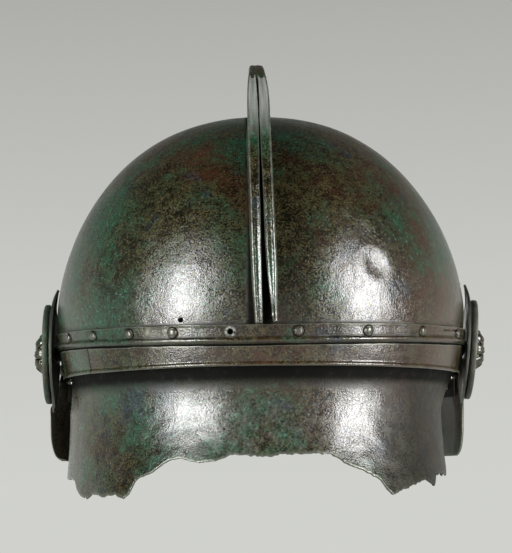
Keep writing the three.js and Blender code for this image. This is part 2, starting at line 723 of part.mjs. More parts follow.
function rosette() {
  const petals = Array.from({ length: petalCount }, (_, index) => {
    const petal = new THREE.SphereGeometry(1, petalSegments, petalRings);
    petal.scale(rosetteHeight * petalDepthShare, rosetteRadius * petalWidthShare, rosetteRadius * petalLengthShare);
    petal.rotateY(-radians(petalTilt));
    petal.translate(rosetteFoot + rosetteHeight * petalRiseShare, 0, rosetteRadius * petalReachShare);
    return petal.rotateX(index * 2 * Math.PI / petalCount);
  });
  const heart = turnedOutward(
    heartShares.map(([radius, rise]) => [radius * rosetteRadius, rosetteFoot + rise * rosetteHeight]), petalCount * 2);
  const flower = joined([heart, ...petals]);
  const middle = new THREE.Vector3(rosetteTop, 0, 0);
  return cutBy(flower, [drillAt(middle, new THREE.Vector3(1, 0, 0), pinRadius + holeGap, rosetteTop * 2)]);
}

function plaquePin(grip) {
  const clench = -grip - pinClenchGap;
  return turnedOutward([
    [0, rosetteTop + seatGap + pinHeadHeight],
    [pinHeadRadius * rivetCrownShare, rosetteTop + seatGap + pinHeadHeight * rivetShoulderShare],
    [pinHeadRadius, rosetteTop + seatGap], [pinRadius, rosetteTop + seatGap], [pinRadius, clench],
    [pinHeadRadius, clench], [0, clench - rivetClenchHeight],
  ], rivetSegments);
}

function collar(collarLength) {
  const hole = pinRadius + holeGap;
  return turnedOutward([
    [hole, -seatGap], [collarRadius, -seatGap], [collarRadius, -seatGap - collarLength],
    [hole, -seatGap - collarLength], [hole, -seatGap],
  ], rivetSegments * 2);
}

for (const [name, side] of sides) {
  const { lean, collarLength, seat, grip } = plaquePlacings[name];
  const plaque = new THREE.Group();
  plaque.position.set(side * seat.x, seat.y, seat.z);
  plaque.rotation.y = side * radians(lean);
  plaque.add(piece(`plaque_backing_${name}`, handed(backing(), side), darkBronze));
  plaque.add(piece(`plaque_disc_${name}`, handed(disc(), side), greenBronze));
  plaque.add(piece(`rosette_${name}`, handed(rosette(), side), brownBronze));
  plaque.add(piece(`plaque_pin_${name}`, handed(plaquePin(grip), side), wornBronze));
  plaque.add(piece(`plaque_collar_${name}`, handed(collar(collarLength), side), darkBronze));
  helmet.add(plaque);
}

// Hinge pieces, made for the left side: +X outward, +Y along the pin to the rear, origin on the pin
function pushedAlong(outline, length, middle, holes = []) {
  const shape = new THREE.Shape(outline.map(([x, y]) => new THREE.Vector2(x, y)));
  shape.holes.push(...holes);
  const bar = new THREE.ExtrudeGeometry(shape, { depth: length, bevelEnabled: false });
  return bar.rotateX(Math.PI / 2).translate(0, middle + length / 2, 0);
}

function ring(radius, segments) {
  return evenShares(segments + 1).slice(0, -1).map(
    (share) => [radius * Math.cos(2 * Math.PI * share), radius * Math.sin(2 * Math.PI * share)]);
}

function knuckle(length, middle) {
  return pushedAlong(ring(barrelRadius, barrelSegments), length, middle);
}

// The leaf is a strip from the barrel to its far edge; its inner face touches the barrel's tangent.
function leafStrip(fromHeight, toHeight, slope, length, middle) {
  const inner = (height) => -barrelRadius + Math.abs(height) * slope;
  const outline = [
    [inner(fromHeight), fromHeight], [inner(toHeight), toHeight],
    [inner(toHeight) + leafWall, toHeight], [inner(fromHeight) + leafWall, fromHeight],
  ];
  return pushedAlong(outline, length, middle);
}

const leafStart = barrelRadius + seatGap;
const middleKnuckle = hingeLength / 2 - seatGap;
const endKnuckle = hingeLength / 4 - seatGap / 2;
const endKnuckleMiddles = [1, -1].map((end) => end * (hingeLength - endKnuckle) / 2);
const pinBore = () => pushedAlong(ring(hingePinRadius + holeGap, barrelSegments), hingeLength + overrun, 0);

function upperLeaf() {
  const slope = Math.tan(leafLean);
  const plate = leafStrip(leafStart, upperLeafHeight, slope, hingeLength, 0);
  const straps = endKnuckleMiddles.map((middle) => leafStrip(0, leafStart + leafWall, slope, endKnuckle, middle));
  const knuckles = endKnuckleMiddles.map((middle) => knuckle(endKnuckle, middle));
  return cutBy(joined([plate, ...straps, ...knuckles]), [pinBore()]);
}

function lowerLeaf(drills) {
  const plate = leafStrip(-leafStart, -lowerLeafHeight, 0, hingeLength, 0);
  const strap = leafStrip(0, -leafStart - leafWall, 0, middleKnuckle, 0);
  return cutBy(joined([plate, strap, knuckle(middleKnuckle, 0)]), [pinBore(), ...drills]);
}

function hingePin() {
  const reach = hingeLength / 2 + seatGap;
  const half = [[hingePinRadius, reach], [hingePinHeadRadius, reach],
    [hingePinHeadRadius * rivetCrownShare, reach + hingePinHeadHeight], [0, reach + hingePinHeadHeight]];
  const section = [...half.map(([x, y]) => [x, -y]).reverse(), ...half];
  return closed(new THREE.LatheGeometry(section.map(([x, y]) => new THREE.Vector2(x, y)), rivetSegments));
}

// Cheek piece: a curved plate on the leaf's outer face, scalloped in front and flanged behind
const cheekInner = -barrelRadius + leafWall + seatGap;
const cheekTop = -leafStart - seatGap;
const cheekSwellShares = { left: cheekSwellShareLeft, right: cheekSwellShareRight };

function cheekSurface(row, across, swell) {
  const [place, front, rear, bulge, flange] = row;
  const along = mix(front, rear, across) * cheekWidth;
  const fromRear = rear * cheekWidth - along;
  const turned = flangeReach * flange * limit(1 - fromRear / flangeWidth, 0, 1) ** flangePowerShare;
  const belowLeaf = limit((place * cheekHeight - lowerLeafHeight) / lowerLeafHeight, 0, 1);
  const rounding = belowLeaf * fromRear ** 2 / (2 * cheekRounding);
  const out = swell * (bulge * cheekCurve + turned - swell * rounding);
  return new THREE.Vector3(cheekInner + out, along, cheekTop - place * cheekHeight);
}

function cheekPlate(drills, swell) {
  const inner = cheekShares.map((row) => cheekAcrossShares.map((across) => cheekSurface(row, across, swell)));
  const outer = inner.map((row) => row.map((point) => point.clone().setX(point.x + cheekWall)));
  return cutBy(sheetBetween(outer, inner), drills);
}

const cheekRivetGrip = cheekWall + seatGap + leafWall;
const cheekRivetSeats = leafRivetPlaces.map((along) => ({
  point: new THREE.Vector3(cheekInner + cheekWall, along, -lowerRivetDepth),
  direction: new THREE.Vector3(1, 0, 0),
  grip: cheekRivetGrip,
}));

for (const [name, side] of sides) {
  const hinge = new THREE.Group();
  hinge.position.set(side * hingeCentre.x, hingeCentre.y, hingeCentre.z);
  hinge.rotation.z = -side * hingeYaw;
  const drills = cheekRivetSeats.map(rivetDrill);
  hinge.add(piece(`hinge_leaf_lower_${name}`, handed(lowerLeaf(drills), side), brownBronze));
  hinge.add(piece(`hinge_pin_${name}`, hingePin(), wornBronze));
  hinge.add(piece(`cheek_plate_${name}`, handed(cheekPlate(drills, cheekSwellShares[name]), side), darkBronze));
  cheekRivetSeats.forEach((seat, index) => {
    hinge.add(rivetPiece(`cheek_rivet_${name}_${index + 1}`, mirroredSeat(seat, side)));
  });
  const upper = handed(upperLeaf(), side);
  upper.rotateZ(-side * hingeYaw).translate(side * hingeCentre.x, hingeCentre.y, hingeCentre.z);
  const drilled = cutBy(upper, leafRivets.filter(([rivet]) => rivet.includes(name)).map(([, seat]) => rivetDrill(seat)));
  helmet.add(piece(`hinge_leaf_upper_${name}`, drilled, brownBronze));
  helmet.add(hinge);
}
for (const [name, seat] of leafRivets) helmet.add(rivetPiece(name, seat));

export default helmet;
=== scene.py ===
"""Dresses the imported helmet: beaten and patinated bronze, a slotted crest and a broken neck guard.

Sizes are in millimetres here, as in the frame's source, and each piece is scaled to metres when it
is finished. Angles round the bowl are in degrees, from the rear towards the wearer's left.
"""

import math

import bmesh
import bpy
from mathutils import Matrix, Vector, noise


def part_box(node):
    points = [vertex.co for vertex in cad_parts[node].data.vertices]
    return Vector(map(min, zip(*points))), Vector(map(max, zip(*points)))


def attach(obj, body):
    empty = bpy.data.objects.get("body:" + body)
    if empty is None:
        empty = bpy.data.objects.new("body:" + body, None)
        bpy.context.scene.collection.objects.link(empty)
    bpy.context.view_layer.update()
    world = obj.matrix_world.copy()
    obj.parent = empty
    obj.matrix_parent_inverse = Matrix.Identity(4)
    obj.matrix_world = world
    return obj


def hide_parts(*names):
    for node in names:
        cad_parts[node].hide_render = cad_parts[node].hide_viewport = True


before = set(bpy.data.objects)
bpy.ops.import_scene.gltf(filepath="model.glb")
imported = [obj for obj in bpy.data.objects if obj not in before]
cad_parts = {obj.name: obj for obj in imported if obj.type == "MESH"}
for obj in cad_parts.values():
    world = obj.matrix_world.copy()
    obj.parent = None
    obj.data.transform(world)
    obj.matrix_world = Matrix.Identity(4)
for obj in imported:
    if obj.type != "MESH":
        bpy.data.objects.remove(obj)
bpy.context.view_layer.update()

bl_info = {
    "name": "Bronze Helmet Dressing",
    "version": (1, 0, 0),
    "blender": (4, 5, 0),
    "location": "3D View > Sidebar > Helmet",
    "description": "Builds the visible bronze of a hinged, crested helmet round its packed frame",
    "category": "Object",
}

MM = 0.001

# Bowl
BOWL_WIDTH = 200
BOWL_LENGTH = 236
LENGTH_RATIO = BOWL_LENGTH / BOWL_WIDTH
BOWL_HEIGHT = 127
BOWL_WALL = 1.2
WIDEST_LEVEL = 28
RIM_TUCK = 4.5
TUCK_POWER = 1.5
RISE_POWER = 1.75
ROUND_POWER = 2.3
REAR_FULL = 0.04
SEAT_GAP = 0.3
ROWS_BELOW_WIDEST = 14
ROWS_ABOVE_WIDEST = 70
BOWL_STEPS = 260
# Angle, level, radius and depth share of each dent in the bowl
DENTS = [
    (-31.5, 45.5, 6.5, 1.0), (-24, 38, 9, 0.25), (27, 30, 11, 0.3), (41, 52, 14, 0.35),
    (152, 70, 9, 0.5), (118, 48, 7, 0.4), (-140, 84, 8, 0.45), (64, 88, 10, 0.3),
]
# Reach of a dent in its own radii, its fall, and the place, width and height of the ring round it
DENT_REACH = 3
DENT_FALL = 1.3
DENT_RING_PLACE = 1.35
DENT_RING_WIDTH = 0.4
DENT_RING_HEIGHT = 0.22
# Angle, level and radius of each small hole in the bowl
BOWL_HOLES = [(20.7, 20.6, 1.25), (-72.5, 23.8, 0.9)]

# Girdle
GIRDLE_HALF_ANGLE = 82
STRIP_WALL = 1
FASCIA_WALL = 1
BAND_SHEET = 0.9
STRIP_TOP = 17.6
STRIP_TOP_SIDE_RISE = 2.2
GROOVE_LEVEL = 9
GROOVE_SIDE_RISE = 3.3
BEAD_HEIGHT = 3
BEAD_BULGE = 1.2
FASCIA_DROP = 0.8
FASCIA_SIDE_DROP = 0.7
LIP_HEIGHT = 2
LIP_BULGE = 1.1
FASCIA_TOP_GAP = 0.55
SEAM_ANGLE = 53
SEAM_WIDTH = 0.35
# The crack under the strip's top edge, from its start to its end on the right
CRACK_START = -70
CRACK_END = -56
CRACK_FADE = 1.5
CRACK_DROP = 1.7
CRACK_HALF_WIDTH = 0.45
CRACK_DEPTH = 0.8
LOST_RIVET_ANGLE = 7.7
LOST_RIVET_BOWL_RADIUS = 1.3
LOST_RIVET_STRIP_RADIUS = 1.35
RIVET_INSET = 3.1
LEFT_RIVETS = [22.7, 35.7, 49.3, 63.2]
RIGHT_RIVETS = [-9.3, -28, -46.6, -66.9]
BROW_RIVETS = {"middle": 0, "left_1": -24, "left_2": -48, "right_1": 24, "right_2": 48}
BROW_RIVET_LEVEL = 6.4

# Neck guard
GUARD_HALF_ANGLE = 84
GUARD_WALL = 1
GUARD_MARGIN = 18.4
GUARD_DROP = 60
GUARD_DRAW = 3
DRAW_DEPTH = 0.3
SIDE_FLARE = 3
REAR_FLARE = 12
FLARE_POWER = 1.6
# How far the ends of the guard are bent to the left
GUARD_BEND = 3.4
# Share of the guard's sheet that is hidden behind the girdle
MARGIN_SHARE = 0.2
# The broken edge: place round the guard, from the right end to the left, and depth
GUARD_EDGE = [
    (-1, 0.82), (-0.87, 0.84), (-0.76, 0.836), (-0.7, 0.83), (-0.645, 0.936),
    (-0.61, 0.882), (-0.585, 0.877), (-0.54, 0.9), (-0.49, 0.93), (-0.455, 0.95),
    (-0.43, 0.972), (-0.405, 0.992), (-0.387, 0.945), (-0.372, 0.877), (-0.35, 0.846),
    (-0.314, 0.792), (-0.276, 0.769), (-0.24, 0.708), (-0.216, 0.685), (-0.14, 0.675),
    (-0.05, 0.681), (0, 0.694), (0.05, 0.677), (0.1, 0.677), (0.14, 0.72),
    (0.21, 0.722), (0.265, 0.698), (0.3, 0.712), (0.33, 0.75), (0.356, 0.795),
    (0.4, 0.832), (0.418, 0.87), (0.43, 0.955), (0.448, 0.993), (0.47, 0.98),
    (0.487, 0.957), (0.52, 0.965), (0.55, 0.977), (0.585, 0.96), (0.62, 0.953),
    (0.65, 0.99), (0.69, 0.976), (0.745, 0.93), (0.8, 0.842), (0.9, 0.84),
    (1, 0.832),
]

# Brow plate
BROW_HALF_ANGLE = 88
BROW_WALL = 1
BROW_PEAK = 60
BROW_MOULDING = 2.4
BROW_BULGE = 0.7
BROW_ROLL = 1.2
# Place from the middle of the front to the temple, and the height of the top edge
BROW_TOP = [(0, 1), (0.08, 0.95), (0.25, 0.8), (0.5, 0.68), (0.75, 0.68), (0.9, 0.74), (1, 0.76)]

# Crest
CREST_HEIGHT = 25
CREST_HALF_WIDTH = 5.5
CREST_SHEET = 0.9
# Length along the crest, by which its unevenness is spread
CREST_RUN = 330
CREST_REAR_LEVEL = 18.8
CREST_FRONT_LEVEL = 67
# Place from rear to front, height, half width, and the slot's left and right edges
CREST = [
    (0, 0.32, 0.91, 0.31, -0.73), (0.05, 0.37, 0.95, 0.27, -0.4),
    (0.1, 0.43, 1, 0.22, -0.2), (0.25, 0.64, 0.97, 0.13, -0.13),
    (0.33, 0.76, 0.96, 0.05, -0.05), (0.4, 0.86, 0.93, 0.09, -0.09),
    (0.5, 0.96, 0.69, 0.17, 0), (0.6, 1, 0.58, 0.13, 0.01),
    (0.75, 0.9, 0.6, 0.06, -0.06), (0.88, 0.56, 0.48, 0.05, -0.05),
    (0.96, 0.28, 0.36, 0.04, -0.04), (1, 0.16, 0.3, 0.04, -0.04),
]
CREST_LEAN = 2.3
LEAN_PLACES = [(0, -1), (0.15, -0.6), (0.35, -0.15), (0.5, 0.13), (0.6, 0.43), (0.8, 0.4), (1, 0)]
# Shares of a wall's sheet at which its fold starts and ends, and the fold's radius
FOLD_START = 0.45
FOLD_END = 0.66
FOLD_RADIUS = 1.15
# How far a wall's foot sinks and flares, and the height of that flare
FOOT_SINK = 0.4
FOOT_FLARE = 0.7
FOOT_FLARE_HEIGHT = 1.2
# How far a lip sags, and turns up again at the slot
LIP_SAG = 0.42
LIP_TURN_UP = 0.22
# The right wall's fold is ragged up to a place on the crest
RAGGED_END = 0.52
RAGGED_NICK = 0.9
PLAIN_NICK = 0.25
PATCH_START = 0.452
PATCH_END = 0.9
PATCH_SHEET = 0.8
PATCH_INSET = 0.35
PATCH_BULGE = 0.55
PATCH_RISE = 0.25

# Plaques
PLAQUE_STATION = 5
PLAQUE_LEVEL = 11.5
PLAQUE_LEAN = {"left": 0, "right": 5}
COLLAR_GAP = 0.5
COLLAR_LENGTH = {"left": 3.1, "right": 1.6}
BACKING_WALL = 1.2
BACKING_TOP = 32
BACKING_BOTTOM = 28.5
BACKING_HALF_WIDTH = 26
BACKING_BOW = 2.7
BACKING_BOW_START = 21
# Height on the backing, from its foot to its tip, and its half width
BACKING = [
    (0, 0.03), (0.06, 0.24), (0.12, 0.44), (0.2, 0.68), (0.32, 0.92), (0.46, 1), (0.6, 0.93),
    (0.72, 0.72), (0.8, 0.5), (0.86, 0.32), (0.92, 0.21), (0.97, 0.1), (1, 0.03),
]
DISC_RADIUS = 24.5
DISC_DEPTH = 2.8
DISC_BACK = 1.5
# Radius and depth shares of the disc: over its face, round its rim and back through its hollow
DISC = [
    (0.05, 0.62), (0.12, 0.7), (0.35, 0.74), (0.42, 0.76), (0.46, 0.86), (0.5, 0.9), (0.54, 0.84),
    (0.58, 0.72), (0.66, 0.7), (0.76, 0.7), (0.84, 0.76), (0.89, 0.9), (0.93, 1), (0.963, 1.02),
    (0.988, 0.95), (1, 0.8), (1, 0.2), (0.988, 0.04), (0.935, 0), (0.9, 0.18), (0.86, 0.38),
    (0.33, 0.36), (0.05, 0.3),
]
DISC_STEPS = 120
ROSETTE_RADIUS = 10
ROSETTE_HEIGHT = 3.6
ROSETTE_FOOT = DISC_BACK + DISC_DEPTH * 0.74 + SEAT_GAP
PETALS = 8
PETAL_START = 2.3
PETAL_OVERHANG = 0.4
PETAL_HALF_WIDTH = 2.9
PETAL_SHEET = 0.5
# Place along a petal from the heart, its height and its half width
PETAL = [
    (0, 1.1, 0.5), (0.15, 1.4, 0.72), (0.35, 1.5, 0.9), (0.55, 1.42, 1), (0.72, 1.2, 0.98),
    (0.86, 0.86, 0.85), (0.95, 0.45, 0.65), (1, 0.04, 0.4),
]
# How far a petal's sides drop, and the depth and half width of the crease along its middle
PETAL_SIDE_DROP = 0.9
PETAL_CREASE = 0.45
PETAL_CREASE_WIDTH = 0.25
LUMP_RADIUS = 1.5
LUMP_PLACE = 8.6
COLLAR_RADIUS = 3.6
COLLAR_FACE = 3.3
COLLAR_BORE = 1.9
COLLAR_EDGE = 0.3
PIN_RADIUS = 1.5
# Radius and height over the rosette of the domed head of a plaque's pin
PIN_HEAD = [
    (0, 1.5), (0.8, 1.42), (1.7, 1.05), (2.35, 0.5), (2.6, -0.1), (2.5, -0.7), (2.1, -1.3),
    (PIN_RADIUS, -2.2),
]
# Radius and height over its end of the clenched foot of that pin
PIN_FOOT = [(PIN_RADIUS, 0.6), (2.6, 0.6), (1.8, 0.12), (0, 0)]
# Both sides carry a thin pale dust, and the right side far more paleness as painted light where it
# is lit. Its inner faces are as bright as its outer ones, while the left side's are dark with
# painted shade
DUST_AND_LIGHT = {"left": 0.03, "right": 0.2}
INNER_FINISH_BY_LIGHT = {"left": "hollow", "right": "green_bronze"}

# Rivets
HEAD_RADIUS = 2
HEAD_HEIGHT = 1
HEAD_EDGE = 0.05
HEAD_SINK = 0.2
SHANK_RADIUS = 1.1
CLENCH_RADIUS = 1.7
CLENCH_HEIGHT = 0.6
RIVET_STEPS = 20
# Radius and share of the dome's height over a rivet's head
HEAD = [(0, 1), (0.9, 0.96), (1.45, 0.8), (1.8, 0.45)]
# Radius, drop, half width and half height of the burr round a girdle rivet
BURR = (2.05, 0.1, 0.25, 0.3)

# Hinges and cheek pieces
HINGE_CENTRE = (93.9788, -38.4524, 5)
HINGE_YAW = math.atan2(0.304819, 0.95241)
HINGE_LENGTH = 32
BARREL_RADIUS = 2.2
BARREL_BORE = 1.3
BARREL_EDGE = 0.25
LEAF_WALL = 1
UPPER_LEAF = 15
LOWER_LEAF = 16
CHEEK_WALL = 1.2
CHEEK_HEIGHT = 43
CHEEK_WIDTH = 38
CHEEK_CURVE = 5.4
CHEEK_ROUNDING = 38
CHEEK_SWELL = {"left": 0.9, "right": 0.34}
FLANGE_WIDTH = 5.2
FLANGE_REACH = 4
# Radius, and height past the leaves, of the knob on each end of a hinge pin
KNOB = [(1, 0), (3.3, 0), (3.6, 0.3), (3, 0.8), (1.6, 1.05), (0, 1.1)]
# Depth down the cheek piece, its front edge, its rear edge, its bulge and its flange
CHEEK = [
    (0, -0.46, 0.45, 0, 0.55), (0.07, -0.5, 0.45, 0, 0.75), (0.15, -0.52, 0.44, 0, 1.1),
    (0.25, -0.47, 0.43, 0, 1.5), (0.31, -0.4, 0.42, 0, 1.8), (0.38, -0.32, 0.42, 0.3, 1.85),
    (0.5, -0.27, 0.41, 0.75, 1.3), (0.62, -0.35, 0.4, 0.98, 1.04), (0.72, -0.38, 0.39, 1, 1.02),
    (0.8, -0.32, 0.37, 0.98, 1), (0.87, -0.24, 0.35, 0.93, 0.95), (0.93, -0.2, 0.32, 0.88, 0.85),
    (0.965, -0.18, 0.29, 0.85, 0.65), (0.99, -0.16, 0.26, 0.83, 0.35), (1, -0.14, 0.24, 0.82, 0.15),
]

# Camera: behind and a little below, on a long lens, with the small roll that the photograph has
CAMERA_PLACE = (0.002, 1.1956, -0.0533)
CAMERA_AIM = (0.002, 0, 0.0492)
CAMERA_LENS = 157
CAMERA_ROLL = math.radians(0.8)

# Stage, in metres
FLOOR_LEVEL = -0.32
FLOOR_REACH = 30.0
FLOOR_COLOUR = (0.8, 0.8, 0.78)
# Distances between which the floor turns into the backdrop's light, and the share of it before
GLOW_REACH = (0.3, 1.3)
GLOW_NEAR = 0.4
# Height of a direction and the share of the backdrop's colour there
SKY = ((0.0, 1.0), (0.085, 0.905), (0.185, 0.7), (0.36, 0.28), (0.6, 0.09), (1.0, 0.04))
# Loss of light at the sides, and the direction along Y from which it grows
DIM_ASIDE = 0.62
DIM_START = -0.75
LAMP_AIM = (0, 0, 0.04)
# Turn from behind towards the left, rise, distance, width, height and power share of each lamp
LAMPS = {
    "lamp_left": (46, 7, 1.3, 0.32, 0.98, 1.0),
    "lamp_right": (-62, 7, 1.3, 0.32, 0.98, 1.0),
    "lamp_front": (180, -2, 1.5, 0.5, 0.45, 0.4),
}

SIDES = (("left", 1), ("right", -1))
OUTWARD_X = Matrix.Rotation(math.pi / 2, 4, "Y")
FACING_Y = Matrix.Rotation(-math.pi / 2, 4, "X")

# Unevenness of each form: the height, the reach in millimetres and the seed of each layer of noise
UNEVEN = {
    "bowl": ((1.0, 38, 3.1), (0.3, 13, 5.2), (0.07, 4.5, 7.7)),
    "strip_top": ((0.3, 9, 2.2), (0.12, 2.4, 4.4)),
    "strip_foot": ((0.15, 7, 1.2),),
    "strip_face": ((0.16, 6, 8.8),),
    "strip_curl": ((1.0, 11, 5.5),),
    "strip_crack": ((0.3, 3, 6.1),),
    "strip_crust": ((1.0, 0.9, 6.2),),
    "fascia_top": ((-0.35, 12, 6.6), (-0.2, 3, 2.6)),
    "fascia_foot": ((0.12, 8, 3.3),),
    "fascia_face": ((0.14, 7, 9.1),),
    "guard_tear": ((1.0, 3.2, 1.4), (0.55, 1.1, 2.6)),
    "guard_notch": ((1.3, 2.0, 5.3),),
    "guard_swell": ((0.9, 13, 4.6),),
    "guard_ripple": ((0.35, 6, 7.4),),
    "guard_pale_patches": ((0.06, 7, 3.3),),
    "guard_specks": ((0.25, 1.3, 5.2),),
    "brow_face": ((0.12, 9, 2.8),),
    "crest_slot": ((1.0, 16, 1.9), (0.5, 4, 3.8)),
    "crest_side": ((0.8, 22, 6.4),),
    "crest_nick": ((1.0, 1.7, 8.1),),
    "crest_face": ((0.12, 7, 4.9),),
    "crest_streaks": ((0.5, 3, 2.2),),
    "crest_specks": ((1.0, 2.2, 7.2),),
    "patch": ((0.4, 3.1, 2.3), (0.25, 1.2, 4.2)),
    "petal_face": ((0.9, 2.4, 1.7),),
    "petal_end": ((0.3, 1.3, 5.1),),
    "backing_dust_and_light": ((1.0, 4, 8.8),),
    "disc_dust_and_light": ((1.0, 4, 3.8),),
    "disc_dirt": ((0.3, 6, 4.1),),
    "cheek_face": ((0.2, 9, 3.7),),
}


# --- Sizes and colours that a user would change ---

class HelmetShape(bpy.types.PropertyGroup):
    """How worn and uneven the bronze is."""

    swell: bpy.props.FloatProperty(
        name="Swell", description="How far the beaten bowl swells and sinks between its blows",
        default=0.00022, min=0, max=0.0006, unit="LENGTH")
    dent_depth: bpy.props.FloatProperty(
        name="Dent Depth", description="Depth of the deepest dent in the bowl",
        default=0.0009, min=0, max=0.002, unit="LENGTH")
    tear: bpy.props.FloatProperty(
        name="Tear", description="How far the neck guard's broken edge is torn in and out",
        default=0.0009, min=0, max=0.003, unit="LENGTH")
    lip_wander: bpy.props.FloatProperty(
        name="Lip Wander", description="How far the crest's lips wander along the slot",
        default=0.0002, min=0, max=0.001, unit="LENGTH")
    rivet_dome: bpy.props.FloatProperty(
        name="Rivet Dome", description="Height of a rivet's head",
        default=0.001, min=0.0004, max=0.0015, unit="LENGTH")


class HelmetFinish(bpy.types.PropertyGroup):
    """Colours of the bronze's patina, of the light and of the backdrop."""

    dark: bpy.props.FloatVectorProperty(
        name="Dark Bronze", description="Deepest tone of the patina",
        default=(0.004, 0.0036, 0.0015), subtype="COLOR", min=0, max=1)
    olive: bpy.props.FloatVectorProperty(
        name="Olive", description="Middle tone of the patina",
        default=(0.064, 0.055, 0.02), subtype="COLOR", min=0, max=1)
    green: bpy.props.FloatVectorProperty(
        name="Green", description="Green bloom on the patina",
        default=(0.008, 0.056, 0.027), subtype="COLOR", min=0, max=1)
    brown: bpy.props.FloatVectorProperty(
        name="Brown", description="Red-brown bloom on the patina",
        default=(0.056, 0.024, 0.011), subtype="COLOR", min=0, max=1)
    worn: bpy.props.FloatVectorProperty(
        name="Worn", description="Rubbed bronze on edges and rivet heads",
        default=(0.23, 0.24, 0.19), subtype="COLOR", min=0, max=1)
    backdrop: bpy.props.FloatVectorProperty(
        name="Backdrop", description="Colour of the floor and of the backdrop near it",
        default=(0.631, 0.638, 0.604), subtype="COLOR", min=0, max=1)
    lamp_power: bpy.props.FloatProperty(
        name="Lamp Power", description="Power of each of the two main lamps",
        default=20.0, min=0, max=100, unit="POWER")


# --- Shapes of the frame, in millimetres ---

def mix(low, high, share):
    return low + (high - low) * share


def limit(value, low=0.0, high=1.0):
    return max(low, min(high, value))


def rising(value, none, full):
    """0 up to one value, 1 from the other, and a straight run between them."""
    return limit((value - none) / (full - none))


def falling(value, full, none):
    """1 up to one value, 0 from the other, and a straight run between them."""
    return limit((none - value) / (none - full))


def read_shares(table, place, column=1):
    """Reads a column of a table of places, along a smooth line through its rows."""
    if place <= table[0][0]:
        return table[0][column]
    if place >= table[-1][0]:
        return table[-1][column]
    after = next(index for index, row in enumerate(table) if row[0] > place)

    def slope(index):
        before, behind = table[max(index - 1, 0)], table[min(index + 1, len(table) - 1)]
        return (behind[column] - before[column]) / (behind[0] - before[0])

    low, high = table[after - 1], table[after]
    span = high[0] - low[0]
    share = (place - low[0]) / span
    square, cube = share ** 2, share ** 3
    return ((2 * cube - 3 * square + 1) * low[column] + (3 * square - 2 * cube) * high[column]
            + (cube - 2 * square + share) * span * slope(after - 1)
            + (cube - square) * span * slope(after))


def read_straight(table, place, column=1):
    """Reads a column of such a table with straight runs between its rows."""
    if place >= table[-1][0]:
        return table[-1][column]
    after = max(1, next(index for index, row in enumerate(table) if row[0] > place))
    low, high = table[after - 1], table[after]
    return mix(low[column], high[column], (place - low[0]) / (high[0] - low[0]))


def rough(point, reach, seed=0.0):
    """Smooth noise from -1 to 1 whose lumps are about reach millimetres across."""
    return noise.noise(Vector(point) / reach + Vector((seed, seed * 0.7, -seed)))


def uneven(form, point):
    """Unevenness of a form at a point: the sum of its layers of noise."""
    return sum(height * rough(point, reach, seed) for height, reach, seed in UNEVEN[form])


def skin_radius(level, offset=0.0):
    """Half width of the bowl's outer face at a level, or of a face at an offset from it."""
    half = BOWL_WIDTH / 2 + offset
    if level < WIDEST_LEVEL:
        return half - RIM_TUCK * ((WIDEST_LEVEL - level) / WIDEST_LEVEL) ** TUCK_POWER
    climb = limit((level - WIDEST_LEVEL) / (BOWL_HEIGHT + offset - WIDEST_LEVEL))
    return half * (1 - climb ** RISE_POWER) ** (1 / ROUND_POWER)


def oval(angle, radius, level):
    """The point at an angle on the bowl's oval whose half width is the radius."""
    turn = math.radians(angle)
    across = radius * math.sin(turn) * (1 + REAR_FULL * math.cos(turn))
    return Vector((across, radius * math.cos(turn) * LENGTH_RATIO, level))


def oval_angle(point):
    """The angle of a point round the bowl's oval."""
    return math.degrees(math.atan2(point.x, point.y / LENGTH_RATIO))


def skin(angle, level, offset=0.0):
    """The point of the bowl's outer face at an angle and a level."""
    return oval(angle, skin_radius(level, offset), level)


def skin_normal(angle, level):
    """The bowl's outward direction at an angle and a level."""
    around = skin(angle + SEAT_GAP, level) - skin(angle - SEAT_GAP, level)
    upward = skin(angle, level + SEAT_GAP) - skin(angle, level - SEAT_GAP)
    return upward.cross(around).normalized()


def sideways(angle):
    """0 at the rear, 1 at the sides."""
    return math.sin(math.radians(angle)) ** 2


def strip_top(angle):
    """Level of the riveted strip's top edge."""
    return STRIP_TOP + STRIP_TOP_SIDE_RISE * sideways(angle)


def groove(angle):
    """Level at which the strip ends and the fascia starts."""
    return GROOVE_LEVEL + GROOVE_SIDE_RISE * sideways(angle)


def rivet_place(angle, offset=0.0):
    """Where a girdle rivet goes through the bowl's outer face, or a face at an offset from it."""
    return skin(angle, strip_top(angle) - RIVET_INSET, offset)


def fascia_foot(angle):
    """Level of the fascia's rolled foot."""
    return -FASCIA_DROP - FASCIA_SIDE_DROP * sideways(angle)


def guard_radius(angle, level):
    """Half width of the neck guard: under the bowl's rim it draws in and then flares."""
    under = -(BOWL_WALL + SEAT_GAP)
    if level >= 0:
        return skin_radius(level, under)
    depth = -level / GUARD_DROP
    draw = GUARD_DRAW * math.sin(math.pi / 2 * min(1, depth / DRAW_DEPTH))
    flare = SIDE_FLARE + REAR_FLARE * max(0, math.cos(math.radians(angle))) ** 2
    return skin_radius(0, under) - draw + flare * rising(depth, DRAW_DEPTH, 1) ** FLARE_POWER


# --- Making a piece ---

# The finer patch round a hole: its margin, its cuts and the rim that is drawn to the hole
HOLE_MARGIN = 5
BOWL_HOLE_CUTS = 9
STRIP_HOLE_CUTS = 2
HOLE_RIM = 1
RIM_SEGMENTS = 2
RIM_ANGLE = math.radians(50)
# Distance at which corners are one
SAME_PLACE = 0.001


def moved(bm, matrix):
    bmesh.ops.transform(bm, matrix=matrix, verts=bm.verts)
    return bm


